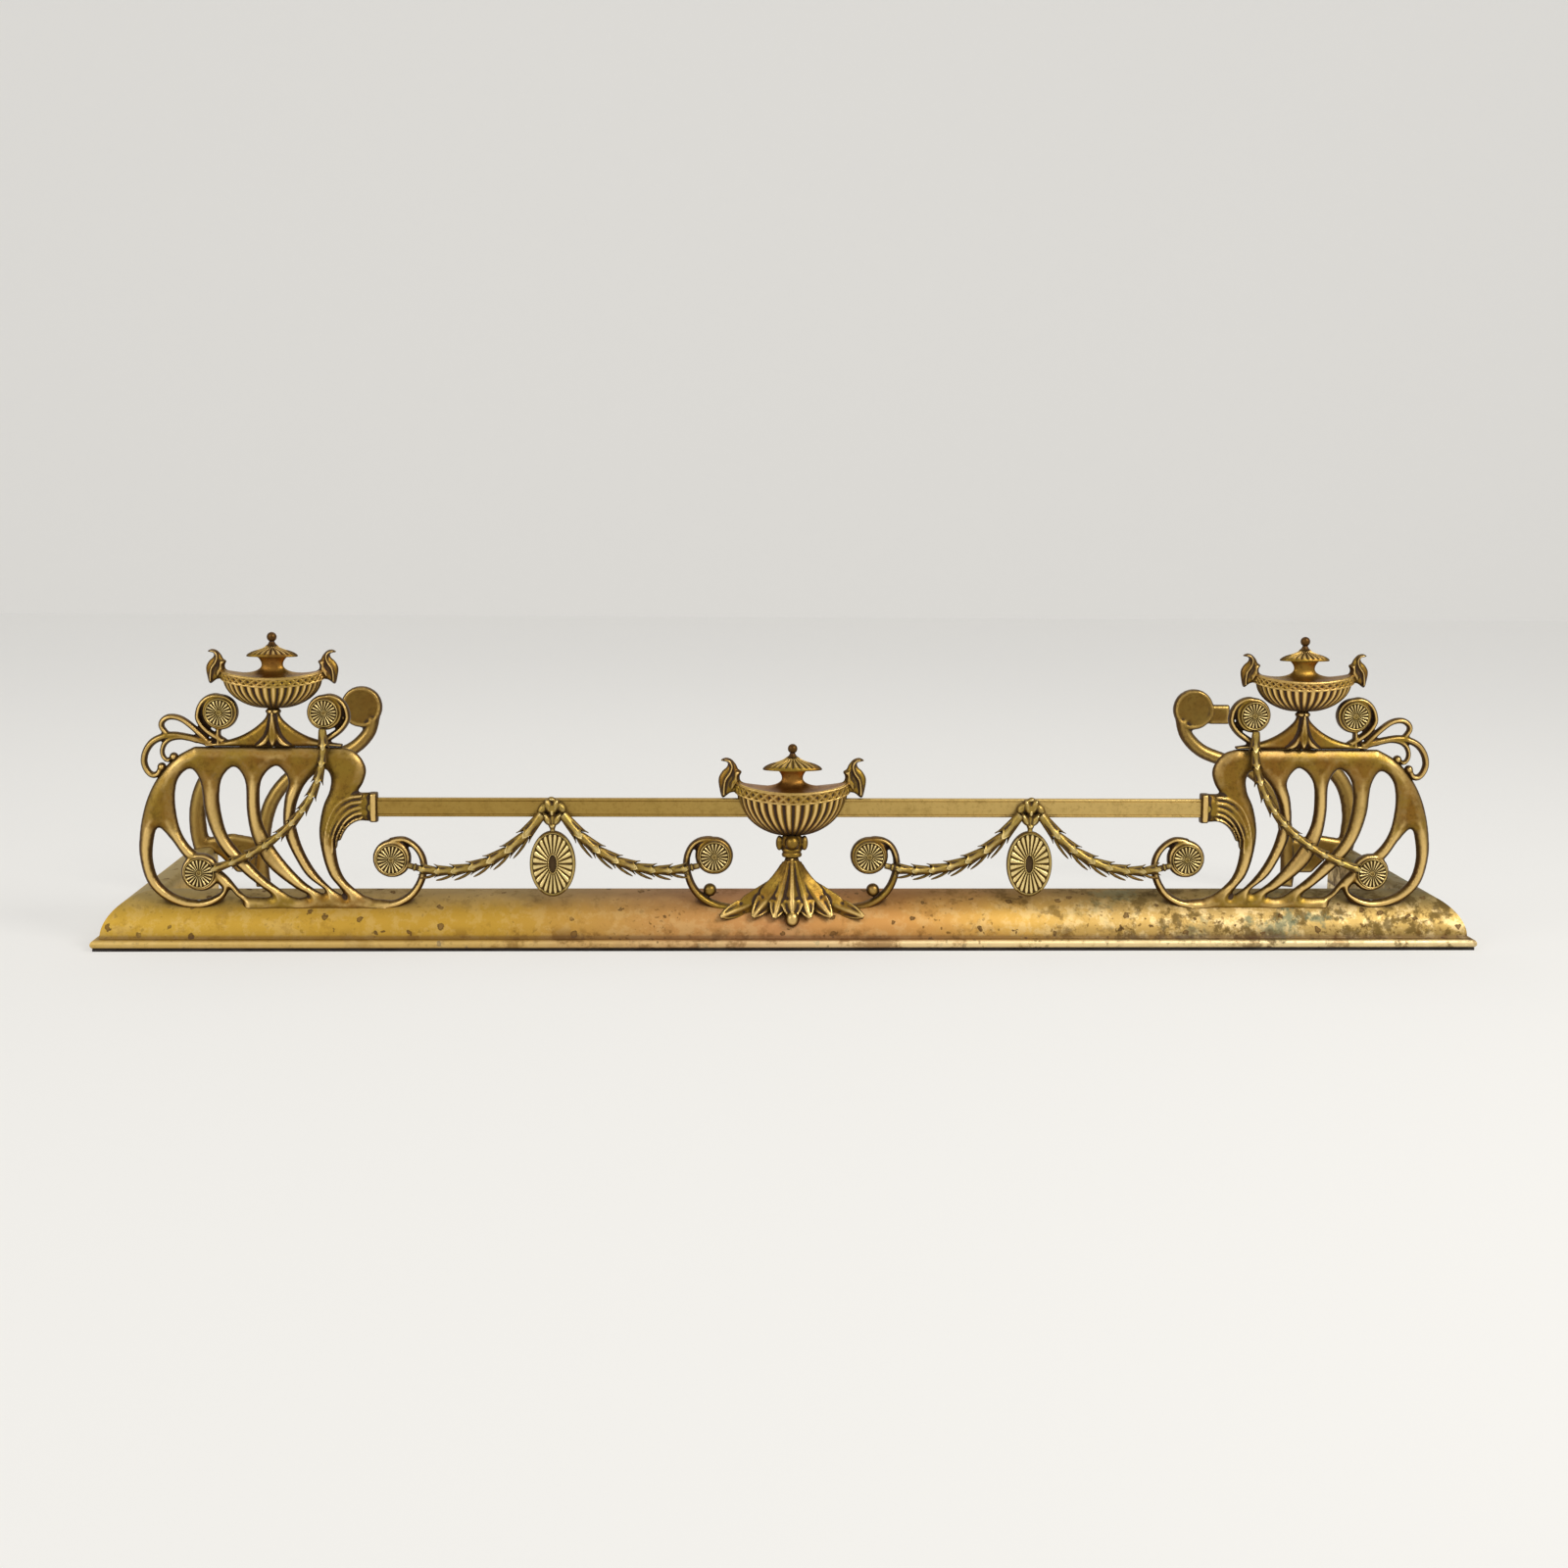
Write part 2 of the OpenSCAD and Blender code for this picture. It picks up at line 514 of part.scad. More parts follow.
module bowl_centre() {
    slot_h = rail_h + 2 * rail_play;
    color("peru") difference() {
        centre_bowl();
        translate([-centre_rim_r, mid_y - rail_t / 2 - rail_play, rail_z - slot_h / 2])
            cube([2 * centre_rim_r, rail_t + 2 * rail_play, slot_h]);
    }
}
module lid_left() { color("peru") lid_solid(panel_x + urn_x, side_lid_z, side_lid_r); }
module lid_right() { color("peru") on_side(true) lid_solid(panel_x + urn_x, side_lid_z, side_lid_r); }
module lid_centre() { color("peru") lid_solid(0, centre_lid_z, centre_lid_r); }
module finial_left() { finial(panel_x + urn_x, side_finial_z); }
module finial_right() { on_side(true) finial(panel_x + urn_x, side_finial_z); }
module finial_centre() { finial(0, centre_finial_z); }
module side_rod() {
    z0 = bar_z - rod_sink;
    color("silver") pin_z([panel_x + urn_x, mid_y], z0, side_finial_z + rod_tip - z0, rod_r);
}
module rod_left() { side_rod(); }
module rod_right() { on_side(true) side_rod(); }
module rod_centre() {
    z0 = nut_top - nut_h - 2;
    color("silver") pin_z([0, mid_y], z0, centre_finial_z + rod_tip - z0, rod_r);
}
module handles_left() { color("peru") handles(panel_x + urn_x, side_rim_z, side_rim_r, 1) side_bowl(); }
module handles_right() { color("peru") on_side(true) handles(panel_x + urn_x, side_rim_z, side_rim_r, 1) side_bowl(); }
module handles_centre() { color("peru") handles(0, centre_rim_z, centre_rim_r, 1.38) centre_bowl(); }

// ---- centre bracket ----
module both(edge) { polygon(concat(edge, [for (i = [len(edge) - 1:-1:0]) [-edge[i][0], edge[i][1]]])); }
module centre_bracket() {
    leaf_t = 9;
    color("peru") difference() {
        union() {
            plate(front_y, casting_t) for (s = [0, 1]) mirror([s, 0]) {
                polygon(band(centre_band, 10, 6));
                translate(centre_eye) circle(eye_r);
                translate(berry) circle(6);
            }
            plate(front_y - 4, casting_t + 8) both(foot_edge);
            plate(front_y - 4 - leaf_t, leaf_t + 1) both(leaf_edge);
            translate([0, front_y - leaf_t, 32]) sphere(8.3);
        }
        kerb_body();
        pin_z([0, mid_y], 0, foot_h + 1, rod_r);
        for (s = [-1, 1]) pin_y([s * centre_eye[0], centre_eye[1]], front_y - 1, casting_t + 2, rivet_r);
    }
}
module knop_centre() {
    color("peru") difference() {
        union() {
            translate([0, mid_y, foot_h]) rotate([0, 0, 45]) rotate_extrude()
                polygon([[0, 0], [6, 0], [6.5, 5], [5.5, 6], [8, 9], [9, knop_h - 6], [8, knop_h - 2], [6.5, knop_h], [0, knop_h]]);
            for (a = [-90, 0, 180]) translate([0, mid_y, foot_h + 12.5]) rotate([0, 0, a]) translate([8.8, 0, 0]) sphere(5.2);
        }
        pin_z([0, mid_y], foot_h - 1, knop_h + 2, rod_r);
    }
}

// ---- rosettes ----
module rosette(p, r, right) {
    color("darkgoldenrod") on_side(right) translate([p[0], front_y, p[1]]) rotate([90, 0, 0]) rotate_extrude()
        polygon([[rivet_r, 0], [r, 0], [r, rosette_t - 1.5], [r - 0.8, rosette_t - 0.5], [r - 1.8, rosette_t - 0.5],
            [r - 2.6, rosette_t - 1.6], [5, rosette_t - 1.2], [4.5, rosette_t], [rivet_r, rosette_t]]);
}
panel_eye_at = [panel_x, 0] + panel_eye;
scroll_eye_at = [panel_x, 0] + scroll_eye;
crest_outer_at = [panel_x, bar_z] + crest_outer_eye;
crest_inner_at = [panel_x, bar_z] + crest_inner_eye;
centre_eye_at = [-centre_eye[0], centre_eye[1]];
module rosette_panel_left() { rosette(panel_eye_at, rosette_r, false); }
module rosette_panel_right() { rosette(panel_eye_at, rosette_r, true); }
module rosette_crest_outer_left() { rosette(crest_outer_at, crest_rosette_r, false); }
module rosette_crest_outer_right() { rosette(crest_outer_at, crest_rosette_r, true); }
module rosette_crest_inner_left() { rosette(crest_inner_at, crest_rosette_r, false); }
module rosette_crest_inner_right() { rosette(crest_inner_at, crest_rosette_r, true); }
module rosette_scroll_left() { rosette(scroll_eye_at, rosette_r, false); }
module rosette_scroll_right() { rosette(scroll_eye_at, rosette_r, true); }
module rosette_centre_left() { rosette(centre_eye_at, rosette_r, false); }
module rosette_centre_right() { rosette(centre_eye_at, rosette_r, true); }
module rivet(p, y0, y1) {
    pin_y(p, y0, y1 - y0, rivet_r);
    pin_y(p, y0 - rivet_head_t, rivet_head_t, rivet_head_r);
    pin_y(p, y1, rivet_head_t, rivet_head_r);
}
module rivets() {
    color("darkgoldenrod") for (s = [-1, 1], p = [panel_eye_at, scroll_eye_at, crest_outer_at, crest_inner_at, centre_eye_at])
        rivet([-s * p[0], p[1]], front_y - rosette_t, front_y + casting_t);
}

// ---- husk chains ----
module husk(a, b) {
    pitch = norm(b - a);
    tilt = atan2(b[0] - a[0], b[1] - a[1]);
    translate([a[0], layer_y, a[1]]) rotate([0, tilt, 0]) {
        cylinder(h = pitch * 0.72, r1 = husk_w * 0.22, r2 = husk_w * 0.5, $fn = 24);
        translate([0, 0, pitch * 0.7]) cylinder(h = pitch * 0.42, r1 = husk_w * 0.36, r2 = husk_w * 0.08, $fn = 24);
    }
}
module chain(curve, count) {
    for (i = [0:count - 1]) husk(bezier(curve, i / count), bezier(curve, (i + 1) / count));
}
module garland_piece() { translate([panel_x, 0, 0]) chain(garland, garland_husks); }
module garland_left() { color("darkgoldenrod") garland_piece(); }
module garland_right() { color("darkgoldenrod") on_side(true) garland_piece(); }
module swag_outer_left() { color("darkgoldenrod") on_side(true) chain(outer_swag, swag_husks); }
module swag_outer_right() { color("darkgoldenrod") chain(outer_swag, swag_husks); }
module swag_inner_left() { color("darkgoldenrod") on_side(true) chain(inner_swag, swag_husks); }
module swag_inner_right() { color("darkgoldenrod") chain(inner_swag, swag_husks); }

// ---- bows and paterae ----
module oval(inset) {
    n = 64;
    polygon([for (j = [0:n - 1]) [bow_x + (patera_r - inset) * cos(360 * j / n), patera_z + (patera_h - inset) * sin(360 * j / n)]]);
}
module bow() {
    difference() {
        plate(rail_front_y - bow_t, bow_t) difference() {
            union() {
                translate(bow_centre) circle(bow_r);
                translate([bow_x, rail_z - knot_drop]) circle(knot_r);
                translate([bow_x - 2.5, patera_z]) square([5, rail_z - patera_z]);
            }
            oval(0);
        }
        pin_y(bow_centre, rail_front_y - bow_t - 1, bow_t + 2, rivet_r);
    }
}
module bow_left() { color("darkgoldenrod") on_side(true) bow(); }
module bow_right() { color("darkgoldenrod") bow(); }
module patera() {
    rim_w = 3.5;
    rim_t = 1.5;
    plate(rail_front_y - patera_t + rim_t, patera_t - rim_t) oval(0);
    plate(rail_front_y - patera_t, patera_t - 1) difference() {
        oval(0.5);
        oval(rim_w);
    }
    plate(rail_front_y - patera_t, patera_t - 1) oval(patera_r - 4);
}
module patera_left() { color("darkgoldenrod") on_side(true) patera(); }
module patera_right() { color("darkgoldenrod") patera(); }

// ---- rail ----
module rail() {
    color("olive") difference() {
        translate([-rail_half, mid_y - rail_t / 2, rail_z - rail_h / 2]) cube([2 * rail_half, rail_t, rail_h]);
        for (s = [-1, 1], x = [bow_x, abs(socket_x) + rail_grip / 2])
            pin_y([s * x, rail_z], rail_front_y - 1, rail_t + 2, rivet_r);
        pin_z([0, mid_y], rail_z - rail_h, 2 * rail_h, rod_r);
    }
}
module rail_pins() {
    color("silver") for (s = [-1, 1]) {
        rivet([s * bow_x, rail_z], rail_front_y - bow_t, rail_front_y + rail_t);
        rivet([s * (abs(socket_x) + rail_grip / 2), rail_z], front_y, front_y + casting_t);
    }
}

// ---- rear brackets ----
module rear_bracket() {
    difference() {
        plate(rear_y - rear_t / 2, rear_t) translate([-half_w, 0]) {
            for (b = rear_bands) polygon(band(b[0], b[1], b[2]));
            translate(rear_head) circle(rear_head_r);
            polygon(rear_tongue);
            polygon(rear_web);
        }
        return_body();
        pin_z([-half_w + rear_stud_u, rear_y], 0, rear_stud_top, stud_r);
    }
}
module rear_bracket_left() { color("saddlebrown") rear_bracket(); }
module rear_bracket_right() { color("saddlebrown") on_side(true) rear_bracket(); }

kerb_front();
kerb_return_left();
kerb_return_right();
base_front();
base_left();
base_right();
corner_plates();
corner_screws();
fixing_studs();
fixing_nuts();
panel_left();
panel_right();
crest_left();
crest_right();
bowl_left();
bowl_right();
bowl_centre();
lid_left();
lid_right();
lid_centre();
finial_left();
finial_right();
finial_centre();
rod_left();
rod_right();
rod_centre();
handles_left();
handles_right();
handles_centre();
centre_bracket();
knop_centre();
rosette_panel_left();
rosette_panel_right();
rosette_crest_outer_left();
rosette_crest_outer_right();
rosette_crest_inner_left();
rosette_crest_inner_right();
rosette_scroll_left();
rosette_scroll_right();
rosette_centre_left();
rosette_centre_right();
rivets();
garland_left();
garland_right();
swag_outer_left();
swag_outer_right();
swag_inner_left();
swag_inner_right();
bow_left();
bow_right();
patera_left();
patera_right();
rail();
rail_pins();
rear_bracket_left();
rear_bracket_right();
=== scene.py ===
# Brass fire fender: the looks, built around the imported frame. Sizes are in millimetres until a piece
# is placed; the front faces -Y and the hearth is at z = 0.
import json
import math

import bpy
import numpy as np
from mathutils import Matrix, Vector

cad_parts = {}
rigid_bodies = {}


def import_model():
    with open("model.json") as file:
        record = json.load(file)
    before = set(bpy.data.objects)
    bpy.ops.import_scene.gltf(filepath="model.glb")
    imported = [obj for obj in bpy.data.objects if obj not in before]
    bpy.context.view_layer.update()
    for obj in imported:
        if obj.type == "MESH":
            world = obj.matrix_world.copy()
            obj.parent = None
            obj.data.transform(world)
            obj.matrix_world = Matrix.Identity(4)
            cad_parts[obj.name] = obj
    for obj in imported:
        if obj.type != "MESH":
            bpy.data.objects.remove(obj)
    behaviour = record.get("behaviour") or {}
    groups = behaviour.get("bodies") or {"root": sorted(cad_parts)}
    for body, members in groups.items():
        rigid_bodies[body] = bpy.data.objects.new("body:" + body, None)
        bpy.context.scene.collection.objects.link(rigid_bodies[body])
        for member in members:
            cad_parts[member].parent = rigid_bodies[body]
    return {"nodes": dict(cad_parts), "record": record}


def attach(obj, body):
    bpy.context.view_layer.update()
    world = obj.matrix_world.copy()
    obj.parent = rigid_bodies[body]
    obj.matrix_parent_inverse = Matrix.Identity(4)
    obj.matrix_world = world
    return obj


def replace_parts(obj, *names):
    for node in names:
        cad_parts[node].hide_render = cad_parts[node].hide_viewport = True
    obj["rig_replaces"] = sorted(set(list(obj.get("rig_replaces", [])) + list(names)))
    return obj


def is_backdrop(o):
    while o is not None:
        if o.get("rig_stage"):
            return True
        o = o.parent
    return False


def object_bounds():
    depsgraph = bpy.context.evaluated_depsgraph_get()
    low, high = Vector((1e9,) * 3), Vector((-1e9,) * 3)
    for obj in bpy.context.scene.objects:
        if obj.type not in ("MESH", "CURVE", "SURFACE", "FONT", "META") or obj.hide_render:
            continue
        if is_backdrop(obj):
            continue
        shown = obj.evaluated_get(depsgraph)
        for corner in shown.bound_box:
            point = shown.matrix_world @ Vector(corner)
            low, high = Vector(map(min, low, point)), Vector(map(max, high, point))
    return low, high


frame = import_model()
cadLow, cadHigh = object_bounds()
mm = 0.001
print("frame loaded")

fender = {
    "halfWidth": 685, "halfDepth": 165,  # over the kerb, lip to lip
    "frontY": -145, "midY": -139,  # front face and middle of the castings
    "castingThick": 12,
    "panelX": -640, "barZ": 199,  # outermost point and top of a panel
    "railZ": 139.6, "railFrontY": -143,
    "urnX": -507, "eyeRadius": 19,
}

# camera, measured from the photograph
view = {
    "place": (-0.1074, -2.4102, 0.4721), "turn": -2.50, "dip": 7.74, "roll": 0.45,
    "lens": 53.31, "sensor": 36,
}
bpy.ops.object.camera_add(location=view["place"])
camera = bpy.context.object
camera.data.lens = view["lens"]
camera.data.sensor_width = view["sensor"]
camera.matrix_world = (
    Matrix.Translation(view["place"])
    @ Matrix.Rotation(math.radians(view["turn"]), 4, "Z")
    @ Matrix.Rotation(math.radians(90 - view["dip"]), 4, "X")
    @ Matrix.Rotation(math.radians(view["roll"]), 4, "Z")
)
bpy.context.scene.camera = camera


# finishes
def tint(code):
    parts = [int(code[i:i + 2], 16) / 255 for i in (0, 2, 4)]
    return [p / 12.92 if p <= 0.04045 else ((p + 0.055) / 1.055) ** 2.4 for p in parts] + [1.0]


class Signal:  # an output socket; sums on it add Math nodes
    def __init__(self, finish, socket):
        self.finish, self.socket = finish, socket

    def maths(self, operation, a, b):
        return self.finish.node("ShaderNodeMath", {"operation": operation}, {0: a, 1: b})

    def __add__(self, other):
        return self.maths("ADD", self, other)

    def __radd__(self, other):
        return self.maths("ADD", other, self)

    def __sub__(self, other):
        return self.maths("SUBTRACT", self, other)

    def __rsub__(self, other):
        return self.maths("SUBTRACT", other, self)

    def __mul__(self, other):
        return self.maths("MULTIPLY", self, other)

    def __rmul__(self, other):
        return self.maths("MULTIPLY", other, self)

    def __truediv__(self, other):
        return self.maths("DIVIDE", self, other)

    def larger(self, other):
        return self.maths("MAXIMUM", self, other)


class Finish:
    def __init__(self, name, home=None):
        self.material = home or bpy.data.materials.new(name)
        self.material.use_nodes = True
        self.tree = self.material.node_tree
        self.tree.nodes.clear()
        self.place = self.node("ShaderNodeTexCoord", {}, {}, "Object")

    # any node: its type, its settings, the values or links of its sockets, and the output wanted
    def node(self, kind, settings, sockets, output=0):
        made = self.tree.nodes.new(kind)
        for key, value in settings.items():
            if key == "stops":
                ramp = made.color_ramp.elements
                while len(ramp) < len(value):
                    ramp.new(0.5)
                for element, (position, colour) in zip(ramp, value):
                    element.position, element.color = position, colour
            else:
                setattr(made, key, value)
        for key, value in sockets.items():
            if isinstance(value, Signal):
                self.tree.links.new(value.socket, made.inputs[key])
            else:
                made.inputs[key].default_value = value
        return Signal(self, made.outputs[output])

    def noise(self, scale, detail=3, rough=0.55):
        return self.node("ShaderNodeTexNoise", {}, {
            "Vector": self.place, "Scale": scale, "Detail": detail, "Roughness": rough}, "Fac")

    def axis(self, vector, key):
        return self.node("ShaderNodeSeparateXYZ", {}, {"Vector": vector}, key)

    def ramp(self, amount, stops):
        stops = [(place, tint(code)) for place, code in stops]
        return self.node("ShaderNodeValToRGB", {"stops": stops}, {"Fac": amount}, "Color")

    def blend(self, amount, a, b):
        return self.node("ShaderNodeMix", {"data_type": "RGBA"}, {0: amount, 6: a, 7: b}, 2)

    # colours laid over one another, each with how much of it shows
    def coats(self, body, *layers):
        for amount, code in layers:
            body = self.blend(amount, body, tint(code))
        return body

    # 0 below low, 1 above high
    def step(self, signal, low, high):
        return self.node("ShaderNodeMapRange", {"interpolation_type": "SMOOTHSTEP"},
                         {"Value": signal, "From Min": low, "From Max": high}, "Result")

    # how enclosed a place is, 0 in the open and 1 in a hollow
    def hollows(self, reach):
        return 1 - self.node("ShaderNodeAmbientOcclusion", {"samples": 8}, {"Distance": reach}, "AO")

    def metal(self, colour, rough, metallic, bump, depth):
        normal = self.node("ShaderNodeBump", {}, {
            "Strength": 0.6, "Distance": depth, "Height": bump}, "Normal")
        shader = self.node("ShaderNodeBsdfPrincipled", {}, {
            "Base Color": colour, "Roughness": rough, "Metallic": metallic, "Normal": normal}, "BSDF")
        self.output(shader)
        return self.material

    def output(self, shader, kind="ShaderNodeOutputMaterial"):
        made = self.tree.nodes.new(kind)
        self.tree.links.new(shader.socket, made.inputs["Surface"])


# old brass: olive and brown; dirt and painted shade darken its hollows, tarnish and painted shade darken
# the sides of its ribs, and wear with a painted highlight brightens what stands out
def oldBrass(name, colours, wearAndPaintedLight=1.0, cloudy=1.0, paler=0.0):
    finish = Finish(name)
    relief, tarnish, copper = [finish.node("ShaderNodeAttribute", {"attribute_name": key}, {}, "Fac")
                               for key in ("relief", "tarnish", "copper")]
    cloud = finish.noise(26, 4)
    smoke = finish.noise(85, 6, 0.7)
    grain = finish.noise(230, 5, 0.65)
    speck = finish.noise(620, 2)
    # painted shade, with tarnish, on what turns away from the front
    side = finish.step(tarnish + (grain - 0.5) * 0.3, 0.08, 0.54)
    # wear and a painted highlight on what stands out
    wearAndHighlight = finish.step(relief + (grain - 0.5) * 0.5 + (cloud - 0.5) * 0.5, 0.14, 0.90) * (1 - side) * wearAndPaintedLight
    low = finish.step((grain - 0.5) * 0.25 - relief, 0.05, 0.40)
    # painted shade where the surface is enclosed, with dirt
    deep = finish.step(finish.hollows(0.011) + (grain - 0.5) * 0.22, 0.32, 0.88)
    dirtAndShade = low.larger(deep)
    dark, bright = colours["dark"], colours["bright"]
    body = finish.coats(tint(colours["olive"]),
                        (finish.step(cloud, 0.36, 0.68) * cloudy, colours["brown"]),
                        (copper * (cloud * 0.5 + 0.6), "94602c"))
    if paler:  # paler towards the right
        across = finish.axis(finish.place, "X")
        body = finish.coats(body, (finish.step(across + (cloud - 0.5) * 0.3, -0.30, 0.40) * paler, bright))
    body = finish.coats(body,
                        (finish.step(grain, 0.50, 0.72) * 0.40, dark),
                        (finish.step(smoke, 0.50, 0.66) * 0.38 * cloudy, dark),
                        (wearAndHighlight, bright), (side * 0.86, dark), (dirtAndShade * 0.92, colours["hollow"]))
    rough = 0.33 + grain * 0.17 - wearAndHighlight * 0.08 + dirtAndShade * 0.26
    metallic = 0.96 - dirtAndShade * 0.5 - side * 0.15
    return finish.metal(body, rough, metallic, grain * 0.7 + speck * 0.3, 0.0004)


# the kerb: golden at the left, coppery in the middle, blotched and greening at the right
kerbColours = {
    "front": [(0.0, "c49e3e"), (0.26, "c0973a"), (0.38, "bf9150"), (0.50, "c28b56"), (0.60, "c6924f"),
              (0.68, "d0a552"), (0.80, "b4965a"), (1.0, "b09252")],  # from the left end to the right
    "crown": [(0.0, "9c8a58"), (0.30, "8f774e"), (0.46, "8c6340"), (0.60, "8a5f30"), (0.80, "74602f"),
              (1.0, "6b5f3c")],
    "pale": "e4c990", "patch": "5c471d", "green": "56664c", "spot": "74521f", "ring": "432c0e",
    "grit": "5a3f17", "stain": "70491a", "lip": "f2dca8", "dirtAndShade": "4a2a0b",
}


def kerbBrass(name):
    finish, colours = Finish(name), kerbColours
    across, height = finish.axis(finish.place, "X"), finish.axis(finish.place, "Z")
    along = across / (2 * fender["halfWidth"] * mm) + 0.5 + (finish.noise(4.5, 5, 0.6) - 0.5) * 0.22
    mottle = finish.noise(48, 7, 0.72)
    fine = finish.noise(240, 4, 0.6)
    top = finish.step(height + (mottle - 0.5) * 0.012, 0.034, 0.052)
    right = finish.step(across, 0.08, 0.42)
    pale = finish.step(finish.noise(66, 6, 0.7), 0.47, 0.60) * (1 - top)
    patch = finish.step(mottle + right * 0.05, 0.53, 0.64)
    green = finish.step(finish.noise(19, 5, 0.7) + right * 0.06, 0.60, 0.70)
    green = green * finish.step(across, 0.15, 0.5)
    # spots are cells shaken out of round, the larger ones with a darker rim
    wobble = finish.node("ShaderNodeTexNoise", {}, {"Vector": finish.place, "Scale": 170.0, "Detail": 4.0},
                         "Color")
    shaken = finish.node("ShaderNodeVectorMath", {"operation": "MULTIPLY_ADD"},
                         {0: wobble, 1: (0.009, 0.009, 0.009), 2: finish.place})
    cells, grit = [finish.node("ShaderNodeTexVoronoi", {}, {"Vector": shaken, "Scale": scale}, "Distance")
                   for scale in (62.0, 150.0)]
    chance = finish.axis(Signal(finish, cells.socket.node.outputs["Color"]), "X")
    rim = 0.02 + chance * 0.19
    busy = finish.step(finish.noise(11, 2) + finish.step(across, -0.62, -0.25) * 0.10, 0.45, 0.54)
    spot = (1 - finish.step(cells, rim, rim + 0.05)) * busy
    ring = spot * finish.step(cells, rim - 0.07, rim)
    middle = finish.step(across, -0.34, -0.16) * (1 - finish.step(height, 0.020, 0.044))
    gritty = (1 - finish.step(grit, 0.16, 0.28)) * finish.step(finish.noise(30, 3), 0.47, 0.58)
    gritty = gritty * (0.40 + middle * 0.60)
    stain = finish.step(finish.noise(38, 5, 0.7), 0.50, 0.62) * (1 - finish.step(height, 0.013, 0.026))
    stain = stain * finish.step(across, -0.60, -0.20)
    # the lip is rubbed and given a painted highlight; the groove over it and the hollows get dirt and
    # painted shade
    lip = (1 - finish.step(height, 0.0098, 0.0112)) * (0.25 + finish.step(across, -0.2, 0.2) * 0.55)
    lip = lip * (1 - gritty * 0.6) * (1 - green) * (1 - stain * 0.7)
    groove = finish.step(height, 0.0102, 0.0116) * (1 - finish.step(height, 0.0128, 0.0160))
    dirtAndShade = (groove * 0.75).larger(finish.step(finish.hollows(0.006), 0.25, 0.7))
    front, crown = finish.ramp(along, colours["front"]), finish.ramp(along, colours["crown"])
    body = finish.blend(top * 0.85, front, crown)
    body = finish.coats(body,
                        (pale * (0.18 + right * 0.55), colours["pale"]),
                        (patch * (0.16 + right * 0.60), colours["patch"]),
                        (green * 0.7, colours["green"]), (spot * 0.78, colours["spot"]),
                        (ring * 0.55, colours["ring"]), (gritty * 0.75, colours["grit"]),
                        (stain * 0.62, colours["stain"]), (lip, colours["lip"]),
                        (dirtAndShade * 0.85, colours["dirtAndShade"]))
    rough = 0.44 + fine * 0.14 + patch * 0.14 + spot * 0.2 + top * 0.10
    metallic = 0.88 - spot * 0.35 - dirtAndShade * 0.4 - green * 0.4 - top * 0.12
    return finish.metal(body, rough, metallic, fine * 0.25 + mottle * 0.75, 0.0006)


def plainMetal(name, light, dark, roughLow, metalness):
    finish = Finish(name)
    cloud = finish.noise(40, 5, 0.6)
    fine = finish.noise(420, 3)
    # darker where the surface is enclosed: painted shade
    body = finish.coats(tint(light), (finish.step(cloud, 0.35, 0.7), dark),
                        (finish.step(finish.hollows(0.005), 0.3, 0.9) * 0.6, "1e1a16"))
    return finish.metal(body, roughLow + fine * 0.2, metalness + cloud * 0.1, fine, 0.0003)


finishes = {  # by material slot
    "cast_brass": oldBrass("castBrass", {"olive": "90732c", "brown": "845d24", "dark": "3e260a",
                                         "bright": "e4c078", "hollow": "2a1404"}),
    "ornament_brass": oldBrass("ornamentBrass", {"olive": "a68d47", "brown": "98783a", "dark": "54390f",
                                                 "bright": "f0d896", "hollow": "3a2408"}, cloudy=0.8),
    "bracket_brass": oldBrass("bracketBrass", {"olive": "967b3c", "brown": "8a6a30", "dark": "452c0e",
                                               "bright": "c4a25c", "hollow": "2e1a06"}, wearAndPaintedLight=0.75),
    "rail_brass": oldBrass("railBrass", {"olive": "a98a46", "brown": "a07f3c", "dark": "7d6028",
                                         "bright": "d2b36e", "hollow": "4a3210"},
                           wearAndPaintedLight=0.6, cloudy=0.7, paler=0.85),
    "kerb_brass": kerbBrass("kerbBrass"),
    "frame_iron": plainMetal("frameIron", "3a3430", "241c16", 0.55, 0.7),
    "fixing_steel": plainMetal("fixingSteel", "8c8a84", "5d564c", 0.38, 0.9),
}
print("finishes mixed")


# curves, as (x, z) pairs
curveSteps = 6  # between two given points


def onSpline(a, b, c, d, t):
    return 0.5 * (2 * b + (c - a) * t + (2 * a - 5 * b + 4 * c - d) * t ** 2
                  + (3 * b - a - 3 * c + d) * t ** 3)


def openCurve(points):
    p = [np.array(q, float) for q in points]
    last = len(p) - 1
    line = [onSpline(p[max(i - 1, 0)], p[i], p[i + 1], p[min(i + 2, last)], j / curveSteps)
            for i in range(last) for j in range(curveSteps)]
    return np.array(line + [p[last]])


def closedCurve(points):
    p = [np.array(q, float) for q in points]
    n = len(p)
    return np.array([onSpline(p[i - 1], p[i], p[(i + 1) % n], p[(i + 2) % n], j / curveSteps)
                     for i in range(n) for j in range(curveSteps)])


def band(points, widthStart, widthEnd):
    line = openCurve(points)
    run = np.gradient(line, axis=0)
    run /= np.linalg.norm(run, axis=1)[:, None]
    side = np.stack([run[:, 1], -run[:, 0]], axis=1)
    side *= np.linspace(widthStart, widthEnd, len(line))[:, None] / 2
    return np.concatenate([line + side, (line - side)[::-1]])


def disc(centre, radius, steps=48):
    turn = np.linspace(0, 2 * math.pi, steps, endpoint=False)
    return np.array(centre) + radius * np.stack([np.cos(turn), np.sin(turn)], axis=1)


def arcPoint(x, z, radius, degrees):
    return (x + radius * math.cos(math.radians(degrees)), z + radius * math.sin(math.radians(degrees)))


def bezier(points, t):
    a, b, c, d = [np.array(p, float) for p in points]
    return (1 - t) ** 3 * a + 3 * t * (1 - t) ** 2 * b + 3 * t * t * (1 - t) * c + t ** 3 * d


